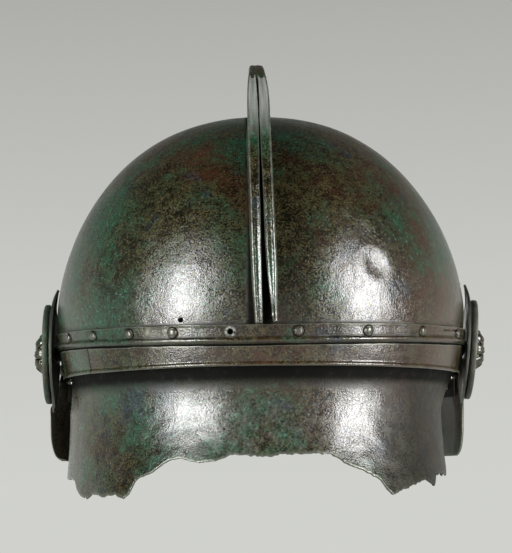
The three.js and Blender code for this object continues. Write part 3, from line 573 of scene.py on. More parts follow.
def sheet(columns, rows, place, **rules):
    """A grid whose corners place() puts, given their shares across and along.

    The rules, each named for a corner layer of wear and painted highlight, of pale crust and painted
    highlight, of grime and painted shade, or of dullness, give the same shares a level of each.
    """
    bm = bmesh.new()
    rules = {"wear": lambda across, along: 0.0, **rules}
    layers = {name: bm.verts.layers.float.new(name) for name in rules}
    bmesh.ops.create_grid(bm, x_segments=columns, y_segments=rows, size=1.0)
    for vert in bm.verts:
        across, along = (vert.co.x + 1) / 2, (vert.co.y + 1) / 2
        for name, rule in rules.items():
            vert[layers[name]] = limit(rule(across, along))
        vert.co = place(across, along)
    return bm


def turned(profile, steps, bm=None, wear=None):
    """A section of radii and heights, turned about +Z and closed at its poles."""
    bm = bm or bmesh.new()
    worn = bm.verts.layers.float.get("wear") or bm.verts.layers.float.new("wear")
    verts = [bm.verts.new((radius, 0, height)) for radius, height in profile]
    for index, vert in enumerate(verts):
        vert[worn] = limit(wear(index / (len(verts) - 1))) if wear else 0.0
    edges = [bm.edges.new(pair) for pair in zip(verts, verts[1:])]
    before = set(bm.verts)
    bmesh.ops.spin(bm, geom=verts + edges, axis=(0, 0, 1), cent=(0, 0, 0), steps=steps,
                   angle=2 * math.pi, use_merge=True)
    made = verts + [vert for vert in bm.verts if vert not in before]
    bmesh.ops.remove_doubles(bm, verts=made, dist=SAME_PLACE)
    return bm


def closed(bm):
    """Makes the faces of each shape agree, which turns those of a closed one outwards."""
    bmesh.ops.recalc_face_normals(bm, faces=bm.faces)
    return bm


def facing(bm, outward):
    """Turns the faces of an open sheet to the side that outward() names for a face's middle."""
    bm.normal_update()
    agreed = sum(face.normal.dot(outward(face.calc_center_median())) for face in bm.faces)
    if agreed < 0:
        bmesh.ops.reverse_faces(bm, faces=bm.faces)
    return bm


def from_axis(middle):
    return Vector((middle.x, middle.y, 0))


def open_hole(bm, point, radius, cuts=BOWL_HOLE_CUTS):
    """Opens a round hole in a sheet, in a finer patch round the nearest corner to a point."""

    def nearest():
        return min(bm.verts, key=lambda vert: (vert.co - point).length_squared).co.copy()

    centre = nearest()
    patch = [edge for edge in bm.edges
             if all((vert.co - centre).length < radius + HOLE_MARGIN for vert in edge.verts)]
    bmesh.ops.subdivide_edges(bm, edges=patch, cuts=cuts, use_grid_fill=True)
    centre = nearest()
    inside = [vert for vert in bm.verts if (vert.co - centre).length < radius]
    bmesh.ops.delete(bm, geom=inside, context="VERTS")
    for vert in bm.verts:
        if vert.is_boundary and (vert.co - centre).length < radius + HOLE_RIM:
            vert.co = centre + (vert.co - centre).normalized() * radius
    return bm


def paint(bm, name, rule):
    """Raises a corner layer, such as wear, or grime and painted shade, to what rule() says for each
    corner's place.
    """
    layer = bm.verts.layers.float.get(name) or bm.verts.layers.float.new(name)
    for vert in bm.verts:
        vert[layer] = max(vert[layer], limit(rule(vert.co)))
    return bm


def piece(name, bm, finish, body, nodes, wall=0.0, rim=0.0, inside="hollow"):
    """Scales a bmesh to metres, gives it its wall and finish, and puts it in its nodes' place."""
    bmesh.ops.scale(bm, vec=(MM, MM, MM), verts=bm.verts)
    mesh = bpy.data.meshes.new(name)
    bm.to_mesh(mesh)
    bm.free()
    mesh.polygons.foreach_set("use_smooth", [True] * len(mesh.polygons))
    made = bpy.data.objects.new(name, mesh)
    bpy.context.scene.collection.objects.link(made)
    mesh.materials.append(bpy.data.materials[f"{finish}_patina"])
    if wall:
        mesh.materials.append(bpy.data.materials[f"{inside}_patina"])
        thick = made.modifiers.new("Wall", "SOLIDIFY")
        thick.thickness = wall * MM
        thick.offset = -1
        thick.use_even_offset = True
        thick.material_offset = 1
    if rim:
        soft = made.modifiers.new("Rim", "BEVEL")
        soft.width = rim * MM
        soft.segments = RIM_SEGMENTS
        soft.limit_method = "ANGLE"
        soft.angle_limit = RIM_ANGLE
    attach(made, body)
    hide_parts(*nodes)
    return made


# --- Finishes ---

# Scale, detail, roughness and shift of each pattern in the patina
PATTERNS = {
    "broad": (12, 5, 0.62, 0.31),
    "patchy": (46, 7, 0.7, 0.77),
    "mottled": (210, 5, 0.68, 1.3),
    "grain": (1150, 3, 0.6, 2.1),
    "sandy": (2400, 2, 0.5, 2.9),
    "browner": (19, 6, 0.66, 4.2),
    "bluer": (38, 5, 0.7, 6.6),
    "specks": (560, 2, 0.5, 8.4),
    "crusts": (900, 2, 0.5, 9.7),
    "pits": (700, 3, 0.6, 11.3),
    "swell": (42, 1.5, 0.5, 13.1),
    "beat": (190, 1.5, 0.5, 14.7),
}
# Greenness, brownness, blueness, rubbed share, polish and painted shade of each finish, the last a
# share of near black over the whole finish
FINISHES = {
    "dark_bronze": (0.07, 0.05, 0.03, 0.55, 0.17, 0.0),
    "green_bronze": (0.08, 0.02, 0.06, 0.5, 0.18, 0.0),
    "brown_bronze": (-0.02, 0.06, 0.0, 0.55, 0.17, 0.0),
    "worn_bronze": (-0.04, 0.02, -0.04, 0.9, 0.17, 0.0),
    # The inner faces' finish, darkened all over by painted shade
    "hollow": (0.0, 0.04, 0.0, 0.3, 0.4, 0.8),
}
BLUE_COLOUR = (0.018, 0.034, 0.055)
SPECK_COLOUR = (0.045, 0.15, 0.1)
CRUST_COLOUR = (0.2, 0.21, 0.17)
# Near black: the colour of pits and dirt, and of painted shade
DIRT_AND_SHADE_COLOUR = (0.003, 0.003, 0.002)
# Pale grey: the colour of crust, and of painted highlight and painted light
CHALK_AND_HIGHLIGHT_COLOUR = (0.46, 0.47, 0.44)
PATINA_IOR = 1.9
# Half width of the blend from the finish of one side to that of the other, in metres
SIDE_BLEND = 0.09
# Depth of the fine relief, in metres
RELIEF = 0.0009


class Nodes:
    """Adds nodes to a tree, with their inputs set or linked."""

    def __init__(self, tree):
        self.tree = tree
        self.coordinates = tree.nodes.new("ShaderNodeTexCoord")

    def node(self, kind, inputs, **settings):
        made = self.tree.nodes.new(kind)
        for key, value in settings.items():
            setattr(made, key, value)
        for key, value in inputs.items():
            if isinstance(value, bpy.types.NodeSocket):
                self.tree.links.new(value, made.inputs[key])
            else:
                made.inputs[key].default_value = value
        return made

    def math(self, operation, *values):
        return self.node("ShaderNodeMath", dict(enumerate(values)), operation=operation).outputs[0]

    def sum(self, first, second, share):
        """The first value and a share of the second."""
        return self.math("MULTIPLY_ADD", second, share, first)

    def product(self, first, second):
        return self.math("MULTIPLY", first, second)

    def between(self, value, low, high, to_low=0.0, to_high=1.0):
        """Runs smoothly from one result to the other while the value runs from low to high."""
        return self.node("ShaderNodeMapRange", {
            "Value": value, "From Min": low, "From Max": high, "To Min": to_low,
            "To Max": to_high}, interpolation_type="SMOOTHSTEP").outputs[0]

    def light_level(self, direction):
        """The share of the backdrop's light that comes from a direction.

        It is less from the sides and from the camera's side, but all of it reaches the camera.
        """
        across = self.node("ShaderNodeSeparateXYZ", {0: direction}).outputs["Y"]
        level = self.between(across, DIM_START, 0.0, 1.0, 1.0 - DIM_ASIDE)
        seen = self.node("ShaderNodeLightPath", {}).outputs["Is Camera Ray"]
        return self.math("MAXIMUM", level, seen)


class Patina(Nodes):
    """Builds one finish from Object coordinates, layer by layer."""

    def __init__(self, name):
        self.material = bpy.data.materials.new(name)
        self.material.use_nodes = True
        super().__init__(self.material.node_tree)
        self.shader = self.tree.nodes["Principled BSDF"]
        self.place = self.coordinates.outputs["Object"]

    def mottle(self, scale, detail, roughness, shift):
        placed = self.node("ShaderNodeMapping", {
            "Vector": self.place, "Location": (shift, -shift, shift)}).outputs[0]
        return self.node("ShaderNodeTexNoise", {
            "Vector": placed, "Scale": scale, "Detail": detail, "Roughness": roughness}).outputs[0]

    def blend(self, amount, first, second):
        """Mixes two colours, each a socket or a plain value."""
        made = self.node("ShaderNodeMix", {0: amount}, data_type="RGBA")
        for key, value in ((6, first), (7, second)):
            if isinstance(value, bpy.types.NodeSocket):
                self.tree.links.new(value, made.inputs[key])
            else:
                made.inputs[key].default_value = (*value, 1)
        return made.outputs[2]

    def side(self):
        """0 on the helmet's right, 1 on its left."""
        across = self.node("ShaderNodeSeparateXYZ", {0: self.place}).outputs[0]
        return self.between(across, -SIDE_BLEND, SIDE_BLEND)

    def attribute(self, name):
        return self.node("ShaderNodeAttribute", {}, attribute_name=name).outputs["Fac"]


def bloomed(made, pattern, colours, greenness, brownness, blueness):
    """The patina's grainy ground with its brown, green and blue blooms."""
    mottled, grain, patchy, side = map(pattern.get, ("mottled", "grain", "patchy", "side"))
    tone = made.between(made.sum(made.sum(mottled, patchy, 0.7), grain, 2.2), 1.75, 2.16)
    colour = made.blend(tone, colours.dark, colours.olive)

    browner = made.sum(made.sum(pattern["browner"], grain, 0.9), side, -0.06)
    browned = made.product(made.between(browner, 0.93 - brownness, 1.16 - brownness),
                           made.between(mottled, 0.66, 0.4, 0.2, 1))
    colour = made.blend(browned, colour, colours.brown)

    greener = made.sum(made.sum(pattern["broad"], patchy, 0.7), side, 0.16)
    bloom = made.between(greener, 0.92 - greenness, 1.16 - greenness)
    greened = made.product(bloom, made.between(made.sum(mottled, grain, 0.9), 0.72, 1.12, 0.1, 1))
    colour = made.blend(greened, colour, colours.green)

    bluer = made.between(pattern["bluer"], 0.6 - blueness, 0.72 - blueness)
    colour = made.blend(made.product(bluer, made.between(grain, 0.4, 0.62)), colour, BLUE_COLOUR)
    speck = made.product(made.between(pattern["specks"], 0.58, 0.7),
                         made.between(bloom, 0.0, 0.8, 0.1, 1))
    return made.blend(made.product(speck, 0.6), colour, SPECK_COLOUR)


def patina(name, colours, greenness, brownness, blueness, rubbed, polish, painted_shade):
    """A glossy old patina: mottled, with blooms, crusts, pits and rubbed edges, darkened by painted
    shade and some dirt, and paled by painted highlight and crust.
    """
    made = Patina(f"{name}_patina")
    pattern = {key: made.mottle(*traits) for key, traits in PATTERNS.items()}
    pattern["side"] = made.side()
    mottled, grain = pattern["mottled"], pattern["grain"]

    colour = bloomed(made, pattern, colours, greenness, brownness, blueness)
    crust = made.between(pattern["crusts"], 0.66, 0.74)
    colour = made.blend(made.product(crust, 0.4), colour, CRUST_COLOUR)
    pits = made.between(pattern["pits"], 0.42, 0.34)
    colour = made.blend(made.product(pits, 0.85), colour, DIRT_AND_SHADE_COLOUR)
    # Rubbed edges and rivet heads, and a painted highlight along a run of the riveted strip, turn
    # towards the worn colour and to metal.
    edge = made.product(
        made.between(made.sum(made.attribute("wear"), mottled, 0.6), 0.55, 1.2), rubbed)
    colour = made.blend(edge, colour, colours.worn)
    # Pale crust and specks, with painted highlight on the crest's lips and folds and painted light
    # on the right plaque, from the pale corner layer.
    colour = made.blend(made.attribute("chalk"), colour, CHALK_AND_HIGHLIGHT_COLOUR)
    # Painted shade in creases and recesses, under the girdle and on hidden faces, with some dirt,
    # blends towards near black.
    grime = made.product(made.attribute("grime"), made.between(mottled, 0.3, 0.5, 0.88, 1))
    grime = made.math("MAXIMUM", grime, painted_shade)
    colour = made.blend(grime, colour, DIRT_AND_SHADE_COLOUR)

    dull = made.attribute("dull")
    roughness = made.between(made.sum(made.sum(mottled, grain, 0.6), pattern["patchy"], 0.7),
                             0.95, 1.35, polish, polish + 0.1)
    roughness = made.sum(made.sum(roughness, grime, 0.4), dull, 0.4)
    gloss = made.product(made.between(grime, 0, 1, 0.5, 0.04), made.between(dull, 0, 1, 1, 0.4))
    height = made.product(pattern["swell"], 0.8)
    for layer, share in (
            (pattern["beat"], 0.22), (grain, 0.17), (pattern["sandy"], 0.045), (pits, -0.03)):
        height = made.sum(height, layer, share)
    bump = made.node("ShaderNodeBump", {"Height": height, "Strength": 1.0, "Distance": RELIEF})
    for socket, source in (
            ("Base Color", colour), ("Roughness", roughness), ("Specular IOR Level", gloss),
            ("Metallic", edge), ("Normal", bump.outputs[0])):
        made.tree.links.new(source, made.shader.inputs[socket])
    made.shader.inputs["IOR"].default_value = PATINA_IOR


class HELMET_OT_finishes(bpy.types.Operator):
    """Makes the four finishes of old bronze, and the dull, dark one of the inner faces, whose
    darkness is painted shade
    """

    bl_idname = "helmet.finishes"
    bl_label = "Finishes"

    def execute(self, context):
        for name, traits in FINISHES.items():
            patina(name, context.scene.helmet_finish, *traits)
        return {"FINISHED"}


# --- Bowl ---

def dented(point, depth):
    """How far the dents push a point in, and the slight ring that they raise."""
    push = 0.0
    for angle, level, radius, share in DENTS:
        reach = (point - skin(angle, level)).length / radius
        if reach < DENT_REACH:
            ring = math.exp(-((reach - DENT_RING_PLACE) / DENT_RING_WIDTH) ** 2)
            push += share * depth * (DENT_RING_HEIGHT * ring - math.exp(-(reach ** 2) * DENT_FALL))
    return push


def bowl_grime(point):
    """Painted shade in the crest's channel, along the crest's feet and along the top of the girdle.
    """
    angle = oval_angle(point)
    on_girdle = abs(angle) < GIRDLE_HALF_ANGLE
    girdle = falling(point.z - strip_top(angle), -0.24, 1.36) if on_girdle else 0
    in_crest = (point.y > 0 and point.z > CREST_REAR_LEVEL - 1.8) or point.z > CREST_FRONT_LEVEL
    crest = falling(abs(point.x - 0.4), 5.16, 6.06) if in_crest else 0
    return max(girdle, crest)


class HELMET_OT_bowl(bpy.types.Operator):
    """Raises the crown bowl, with its swells, its dents and its small holes"""

    bl_idname = "helmet.bowl"
    bl_label = "Crown Bowl"

    def execute(self, context):
        shape = context.scene.helmet_shape
        swell, depth = shape.swell / MM, shape.dent_depth / MM
        levels = [WIDEST_LEVEL * row / ROWS_BELOW_WIDEST for row in range(ROWS_BELOW_WIDEST)]
        for row in range(ROWS_ABOVE_WIDEST + 1):
            climb = math.sin(math.pi / 2 * row / ROWS_ABOVE_WIDEST) ** (2 / RISE_POWER)
            levels.append(mix(WIDEST_LEVEL, BOWL_HEIGHT, climb))
        bm = turned([(skin_radius(level), level) for level in levels], BOWL_STEPS)
        for vert in bm.verts:
            angle = math.degrees(math.atan2(vert.co.x, vert.co.y))
            vert.co = oval(angle, math.hypot(vert.co.x, vert.co.y), vert.co.z)
        facing(closed(bm), lambda middle: middle)
        bm.normal_update()
        pushes = [swell * uneven("bowl", vert.co) + dented(vert.co, depth) for vert in bm.verts]
        for vert, push in zip(bm.verts, pushes):
            vert.co += vert.normal * push
        for angle, level, radius in BOWL_HOLES:
            open_hole(bm, skin(angle, level), radius)
        open_hole(bm, rivet_place(LOST_RIVET_ANGLE), LOST_RIVET_BOWL_RADIUS)
        paint(bm, "grime", bowl_grime)
        piece("bowl", bm, "dark_bronze", "helmet", ["crown_bowl"], wall=BOWL_WALL, rim=0.3)
        return {"FINISHED"}


# --- Girdle ---

def band_wear(across, along):
    """Rubbed along the two long rims of a band."""
    return falling(min(along, 1 - along), 0, 1 / 14)


def strip_place(angle, share):
    """Outer face of the riveted strip, from its groove to its top."""
    line = (angle, 0, 0)
    top = strip_top(angle) + uneven("strip_top", line)
    foot = groove(angle) + uneven("strip_foot", (angle, 4, 0))
    level = mix(foot, top, share)
    bead = rising(level, foot, foot + BEAD_HEIGHT)
    offset = SEAT_GAP + STRIP_WALL + BEAD_BULGE * math.sin(math.pi * bead) ** 0.8
    offset += uneven("strip_face", (angle, level / 4, 0))
    offset += 0.3 * rising(share, 0.86, 1) * limit(uneven("strip_curl", line) + 0.3)
    from_crack = abs(level - top + CRACK_DROP + uneven("strip_crack", line))
    cracked = (falling(angle, CRACK_END - CRACK_FADE, CRACK_END)
               * rising(angle, CRACK_START, CRACK_START + CRACK_FADE))
    offset -= CRACK_DEPTH * cracked * falling(from_crack, 0, CRACK_HALF_WIDTH)
    return skin(angle, level, offset)


def fascia_place(angle, share):
    """Outer face of the plain fascia, from its rolled foot to its top."""
    top = groove(angle) - SEAT_GAP - FASCIA_TOP_GAP + uneven("fascia_top", (angle, 7, 0))
    foot = fascia_foot(angle) + uneven("fascia_foot", (angle, 9, 0))
    level = mix(foot, top, share)
    lip = rising(level, foot, foot + LIP_HEIGHT)
    offset = SEAT_GAP + FASCIA_WALL + LIP_BULGE * math.sin(math.pi * (0.25 + 0.75 * lip)) ** 0.9
    return skin(angle, level, offset + uneven("fascia_face", (angle, level / 3, 2)))


def strip_grime(point):
    """Painted shade round the rivet heads and in the creases over and under the bead."""
    near = min((point - rivet_place(angle, SEAT_GAP + STRIP_WALL)).length
               for angle in LEFT_RIVETS + RIGHT_RIVETS)
    over_groove = point.z - groove(oval_angle(point))
    over_bead = abs(over_groove - BEAD_HEIGHT - 0.3)
    return max(falling(near, 2.755, 3.105), 0.7 * falling(over_bead, 0, 0.49),
               0.6 * falling(abs(over_groove), 0, 0.3))


class HELMET_OT_girdle(bpy.types.Operator):
    """Bends the riveted strip and the fascia round the bowl"""

    bl_idname = "helmet.girdle"
    bl_label = "Girdle"

    def execute(self, context):
        bands = (
            ("girdle_strip", "rivet_strip", -GIRDLE_HALF_ANGLE, GIRDLE_HALF_ANGLE, 900, 30,
             strip_place, "dark_bronze"),
            ("girdle_fascia_rear", "fascia_strip_rear", -GIRDLE_HALF_ANGLE, SEAM_ANGLE, 300, 22,
             fascia_place, "brown_bronze"),
            ("girdle_fascia_left", "fascia_strip_left", SEAM_ANGLE + SEAM_WIDTH,
             GIRDLE_HALF_ANGLE, 70, 22, fascia_place, "green_bronze"),
        )
        hole = rivet_place(LOST_RIVET_ANGLE, SEAT_GAP + STRIP_WALL)

        def strip_painted_highlight(point):
            """Painted highlight, made of rubbed bronze, over a run to the left of the lost rivet."""
            return 0.75 - abs(math.degrees(math.atan2(point.x, point.y)) - 22) / 20

        def hole_crust(point):
            """A broken pale ring round the lost rivet's hole."""
            ring = 1 - abs((point - hole).length - 2) / 0.7
            return min(0.45 + uneven("strip_crust", point), ring)

        for name, node, start, end, columns, rows, place, finish in bands:
            bm = sheet(columns, rows,
                       lambda across, along: place(mix(start, end, across), along), wear=band_wear)
            facing(bm, from_axis)
            if node == "rivet_strip":
                open_hole(bm, hole, LOST_RIVET_STRIP_RADIUS, STRIP_HOLE_CUTS)
                paint(bm, "grime", strip_grime)
                paint(bm, "wear", strip_painted_highlight)
                paint(bm, "chalk", hole_crust)
            piece(name, bm, finish, "helmet", [node], wall=BAND_SHEET, rim=0.22)
        return {"FINISHED"}


# --- Neck guard ---

def guard_place(place, share, tear):
    """Outer face of the neck guard, from its hidden margin to its broken edge."""
    angle = place * GUARD_HALF_ANGLE
    along_edge = place * 100
    torn = uneven("guard_tear", (along_edge, 0, 0)) - abs(uneven("guard_notch", (along_edge, 3, 0)))
    torn *= tear * mix(0.45, 1.0, limit(0.5 - place))
    edge = read_straight(GUARD_EDGE, place) * GUARD_DROP + torn
    if share < MARGIN_SHARE:
        level = GUARD_MARGIN * (1 - share / MARGIN_SHARE)
    else:
        level = -edge * (share - MARGIN_SHARE) / (1 - MARGIN_SHARE)
    deep = limit(-level / GUARD_DROP)
    swell = uneven("guard_swell", (angle / 1.2, level / 2, 0))
    radius = guard_radius(angle, level)
    radius += deep ** 1.3 * (swell + uneven("guard_ripple", (angle, level, 3)))
    bent = GUARD_BEND * sideways(angle) ** 3 * rising(-level, 3, 18)
    return oval(angle, radius, level) + Vector((bent, 0, 0))


def guard_wear(across, along):
    """Rubbed along the broken edge."""
    return 0.9 * rising(along, 0.965, 1)


def guard_grime(point):
    """Painted shade under the girdle, and darker towards the right end."""
    return max(1.95 + (point.z - FASCIA_DROP) / 6.5, min(0.6, (-point.x - 48) / 35))


def guard_chalk(point):
    """Paler over the middle of the neck guard, thinly and in specks."""
    reach = limit(1 - (point.x / 42) ** 2) * rising(-point.z, 8, 22)
    return reach * (0.03 + uneven("guard_pale_patches", point) + max(0, uneven("guard_specks", point)))


class HELMET_OT_neck_guard(bpy.types.Operator):
    """Hangs the flared neck guard inside the rim, with its broken edge"""

    bl_idname = "helmet.neck_guard"
    bl_label = "Neck Guard"

    def execute(self, context):
        tear = context.scene.helmet_shape.tear / MM
        bm = sheet(520, 60, lambda across, along: guard_place(across * 2 - 1, along, tear),
                   wear=guard_wear)
        facing(bm, from_axis)
        paint(bm, "grime", guard_grime)
        paint(bm, "chalk", guard_chalk)
        piece("guard", bm, "green_bronze", "helmet", ["neck_guard"], wall=GUARD_WALL, rim=0.2)
        return {"FINISHED"}


# --- Brow plate ---

def brow_place(angle, share):
    """Outer face of the brow plate, from its foot to its moulded top."""
    top = BROW_PEAK * read_shares(BROW_TOP, abs(angle - 180) / BROW_HALF_ANGLE)
    level = mix(0, top, share)
    moulding = rising(level, top - BROW_MOULDING, top)
    offset = SEAT_GAP + BROW_WALL + BROW_BULGE * math.sin(math.pi * moulding) ** 0.8
    return skin(angle, level, offset + uneven("brow_face", (angle, level / 2, 0)))


class HELMET_OT_brow_plate(bpy.types.Operator):
    """Lays the brow plate round the front, with its moulding and its rolled edge"""

    bl_idname = "helmet.brow_plate"
    bl_label = "Brow Plate"

    def execute(self, context):
        start, end = 180 - BROW_HALF_ANGLE, 180 + BROW_HALF_ANGLE
        bm = sheet(440, 60, lambda across, along: brow_place(mix(start, end, across), along),
                   wear=band_wear)
        facing(bm, from_axis)
        piece("brow", bm, "dark_bronze", "helmet", ["brow_plate"], wall=BROW_WALL, rim=0.25)

        def roll_place(across, along):
            angle, turn = mix(start, end, across), 2 * math.pi * along
            middle = skin_radius(0) + SEAT_GAP + BROW_WALL / 2
            level = -SEAT_GAP - BROW_ROLL + (BROW_ROLL + 0.25) * math.cos(turn)
            return oval(angle, middle + (BROW_ROLL + 0.1) * math.sin(turn), level)

        bm = sheet(440, 16, roll_place, wear=lambda across, along: 0.45)
        bmesh.ops.remove_doubles(bm, verts=bm.verts, dist=SAME_PLACE)
        bmesh.ops.holes_fill(bm, edges=[edge for edge in bm.edges if edge.is_boundary], sides=0)
        piece("brow_roll", closed(bm), "dark_bronze", "helmet", [])
        return {"FINISHED"}


# --- Crest ---

def level_turn(level):
    """The turn over the crown at which the middle line reaches a level."""
    return math.asin(((level - WIDEST_LEVEL) / (BOWL_HEIGHT - WIDEST_LEVEL)) ** (RISE_POWER / 2))


CREST_START = -(WIDEST_LEVEL - CREST_REAR_LEVEL) / (BOWL_HEIGHT - WIDEST_LEVEL)
CREST_END = math.pi - level_turn(CREST_FRONT_LEVEL)


def middle_line(place):
    """The bowl's face under the crest, at a place from the crest's rear end to its front end."""
    turn = mix(CREST_START, CREST_END, place)
    crown = BOWL_HEIGHT - WIDEST_LEVEL
    level = WIDEST_LEVEL + (turn if turn < 0 else math.sin(turn) ** (2 / RISE_POWER)) * crown
    return skin(0 if turn < math.pi / 2 else 180, level)


def crest_frame(place):
    """Foot of the crest's middle and its outward direction."""
    step = 1 / BOWL_HEIGHT
    along = (middle_line(min(1, place + step)) - middle_line(max(0, place - step))).normalized()
    base = middle_line(place)
    base.x = CREST_LEAN * read_shares(LEAN_PLACES, place)
    return base, Vector((0, along.z, -along.y))


def crest_wall_place(place, share, side, wander):
    """Outer face of a crest wall: up from the bowl, over the fold and along the lip to the slot."""
    base, outward = crest_frame(place)
    height = CREST_HEIGHT * read_shares(CREST, place, 1)
    half = CREST_HALF_WIDTH * read_shares(CREST, place, 2)
    slot = CREST_HALF_WIDTH * read_shares(CREST, place, 3 if side > 0 else 4)
    line = (place * CREST_RUN, 10 * side, 0)
    slot += wander * uneven("crest_slot", line)
    half += wander * uneven("crest_side", line)
    ragged = side < 0 and place < RAGGED_END
    nick = wander * (RAGGED_NICK if ragged else PLAIN_NICK) * uneven("crest_nick", line)
    if share < FOLD_START:
        climb = share / FOLD_START
        flare = FOOT_FLARE * max(0, 1 - climb * (height - FOLD_RADIUS) / FOOT_FLARE_HEIGHT) ** 2
        across = side * (half + flare)
        up = mix(-FOOT_SINK, height - FOLD_RADIUS, climb)
    elif share < FOLD_END:
        turn = (share - FOLD_START) / (FOLD_END - FOLD_START) * math.pi / 2
        across = side * (half - FOLD_RADIUS + (FOLD_RADIUS + nick) * math.cos(turn))
        up = height - FOLD_RADIUS + (FOLD_RADIUS + nick) * math.sin(turn)
    else:
        reach = (share - FOLD_END) / (1 - FOLD_END)
        across = mix(side * (half - FOLD_RADIUS), slot, reach)
        up = height - LIP_SAG * math.sin(math.pi * min(1, reach * 1.15)) + LIP_TURN_UP * reach ** 3
    up += uneven("crest_face", (place * CREST_RUN, across, side))
    return base + outward * up + Vector((across, 0, 0))


def crest_wear(across, along):
    """Rubbed on the fold and on the lip's edge."""
    return max(0.85 * falling(abs(along - 0.56), 0, 0.1), rising(along, 0.95, 1))


def crest_chalk(across, along):
    """Painted highlight: pale on the lips over the crown, in streaks along the slot, and thinly in
    specks on the folds.
    """
    over_crown = rising(across, 0.3, 0.4) * falling(across, 0.55, 0.6) * rising(along, 0.58, 0.64)
    streak = 0.8 + uneven("crest_streaks", (across * 60, along * 60, 0))
    speck = limit(0.4 + uneven("crest_specks", (across * CREST_RUN, along * 20, 0)))
    return max(over_crown * streak, 0.55 * speck * falling(abs(along - 0.57), 0, 0.07))


def crest_dull(across, along):
    """The walls' flanks are duller than their lips."""
    return falling(along, 0.44, 0.5)


def crest_grime(across, along):
    """Painted shadow on the outer edge of the right wall near its top."""
    return (rising(across, 0.33, 0.36) * falling(across, 0.49, 0.52)
            * falling(along, 0.49, 0.54) * rising(along, 0, 0.3))


def patch_place(across, along):
    """Outer face of the patch: a low bulge that closes the slot, with a crust."""
    place = mix(PATCH_START, PATCH_END, across)
    base, outward = crest_frame(place)
    height = CREST_HEIGHT * read_shares(CREST, place, 1)
    half = CREST_HALF_WIDTH * read_shares(CREST, place, 2)
    reach = mix(-1, 1, along)
    bulge = PATCH_BULGE * (1 - reach ** 6) + uneven("patch", (place * CREST_RUN, reach * 5, 0))
    ends = rising(min(across, 1 - across), 0, 1 / 30)
    up = height + (bulge + PATCH_RISE) * ends - PATCH_RISE
    return base + outward * up + Vector((reach * (half - PATCH_INSET), 0, 0))


def patch_grime(across, along):
    """A painted shadow line where the patch turns over the top."""
    return falling(abs(across - 0.29), 0.02, 0.07)


class HELMET_OT_crest(bpy.types.Operator):
    """Stands the two walls of the crest on the bowl and closes the slot over the top"""

    bl_idname = "helmet.crest"
    bl_label = "Crest"

    def execute(self, context):
        wander = context.scene.helmet_shape.lip_wander / MM
        crown = Vector((0, 0, 60))
        for name, side in SIDES:
            rules = {"grime": crest_grime} if name == "right" else {}
            bm = sheet(420, 26, lambda across, along: crest_wall_place(across, along, side, wander),
                       wear=crest_wear, chalk=crest_chalk, dull=crest_dull, **rules)
            facing(bm, lambda middle: Vector((side, 0, 0)) + (middle - crown).normalized())
            piece(f"crest_{name}", bm, "dark_bronze", "helmet", [f"crest_wall_{name}"],
                  wall=CREST_SHEET, rim=0.2)

        bm = sheet(220, 20, patch_place, wear=lambda across, along: 0.2, grime=patch_grime)
        facing(bm, lambda middle: middle - crown)
        piece("crest_patch", bm, "brown_bronze", "helmet", ["crest_bridge"], wall=PATCH_SHEET)
        return {"FINISHED"}


# --- Rivets ---

def into(bm, part):
    """Adds one bmesh to another."""
    mesh = bpy.data.meshes.new("part")
    part.to_mesh(mesh)
    part.free()
    bm.from_mesh(mesh)
    bpy.data.meshes.remove(mesh)
    return bm


def started():
    """An empty bmesh that can take parts with rubbed corners."""
    bm = bmesh.new()
    bm.verts.layers.float.new("wear")
    return bm


def rivet(bm, node, direction, dome, burred=False):
    """Adds a domed rivet where a frame node has its plain one."""
    corners = [corner.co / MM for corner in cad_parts[node].data.vertices]
    middle = sum(corners, Vector()) / len(corners)
    reach = [(corner - middle).dot(direction) for corner in corners]
    seat, clench = max(reach) - HEAD_HEIGHT, min(reach) + CLENCH_HEIGHT
    profile = [(radius, seat + dome * share) for radius, share in HEAD]
    profile += [
        (HEAD_RADIUS, seat + HEAD_EDGE), (HEAD_RADIUS, seat - HEAD_SINK),
        (SHANK_RADIUS, seat - HEAD_SINK), (SHANK_RADIUS, clench), (CLENCH_RADIUS, clench),
        (CLENCH_RADIUS * 0.7, clench - CLENCH_HEIGHT * 0.8), (0, clench - CLENCH_HEIGHT),
    ]
    part = turned(profile, RIVET_STEPS, wear=lambda share: 1.1 - share * 2)
    if burred:
        radius, drop, half_width, half_height = BURR
        turns = [index * math.pi / 4 for index in range(9)]
        burr = [(radius + half_width * math.cos(turn), seat - drop + half_height * math.sin(turn))
                for turn in turns]
        turned(burr, RIVET_STEPS, bm=part, wear=lambda share: 0.35)
    turn = Vector((0, 0, 1)).rotation_difference(direction)
    moved(closed(part), Matrix.Translation(middle) @ turn.to_matrix().to_4x4())
    into(bm, part)


class HELMET_OT_rivets(bpy.types.Operator):
    """Sets the domed rivets of the girdle and the brow plate"""

    bl_idname = "helmet.rivets"
    bl_label = "Rivets"

    def execute(self, context):
        dome = context.scene.helmet_shape.rivet_dome / MM
        for side, angles in (("left", LEFT_RIVETS), ("right", RIGHT_RIVETS)):
            bm, nodes = started(), []
            for index, angle in enumerate(angles):
                nodes.append(f"girdle_rivet_{side}_{index + 1}")
                direction = skin_normal(angle, strip_top(angle) - RIVET_INSET)
                rivet(bm, nodes[-1], direction, dome, burred=True)
            piece(f"girdle_rivets_{side}", bm, "brown_bronze", "helmet", nodes)
        bm = started()
        for name, angle in BROW_RIVETS.items():
            rivet(bm, f"brow_rivet_{name}", skin_normal(180 + angle, BROW_RIVET_LEVEL), dome)
        nodes = [f"brow_rivet_{name}" for name in BROW_RIVETS]
        piece("brow_rivets", bm, "worn_bronze", "helmet", nodes)
        return {"FINISHED"}


# --- Plaques ---

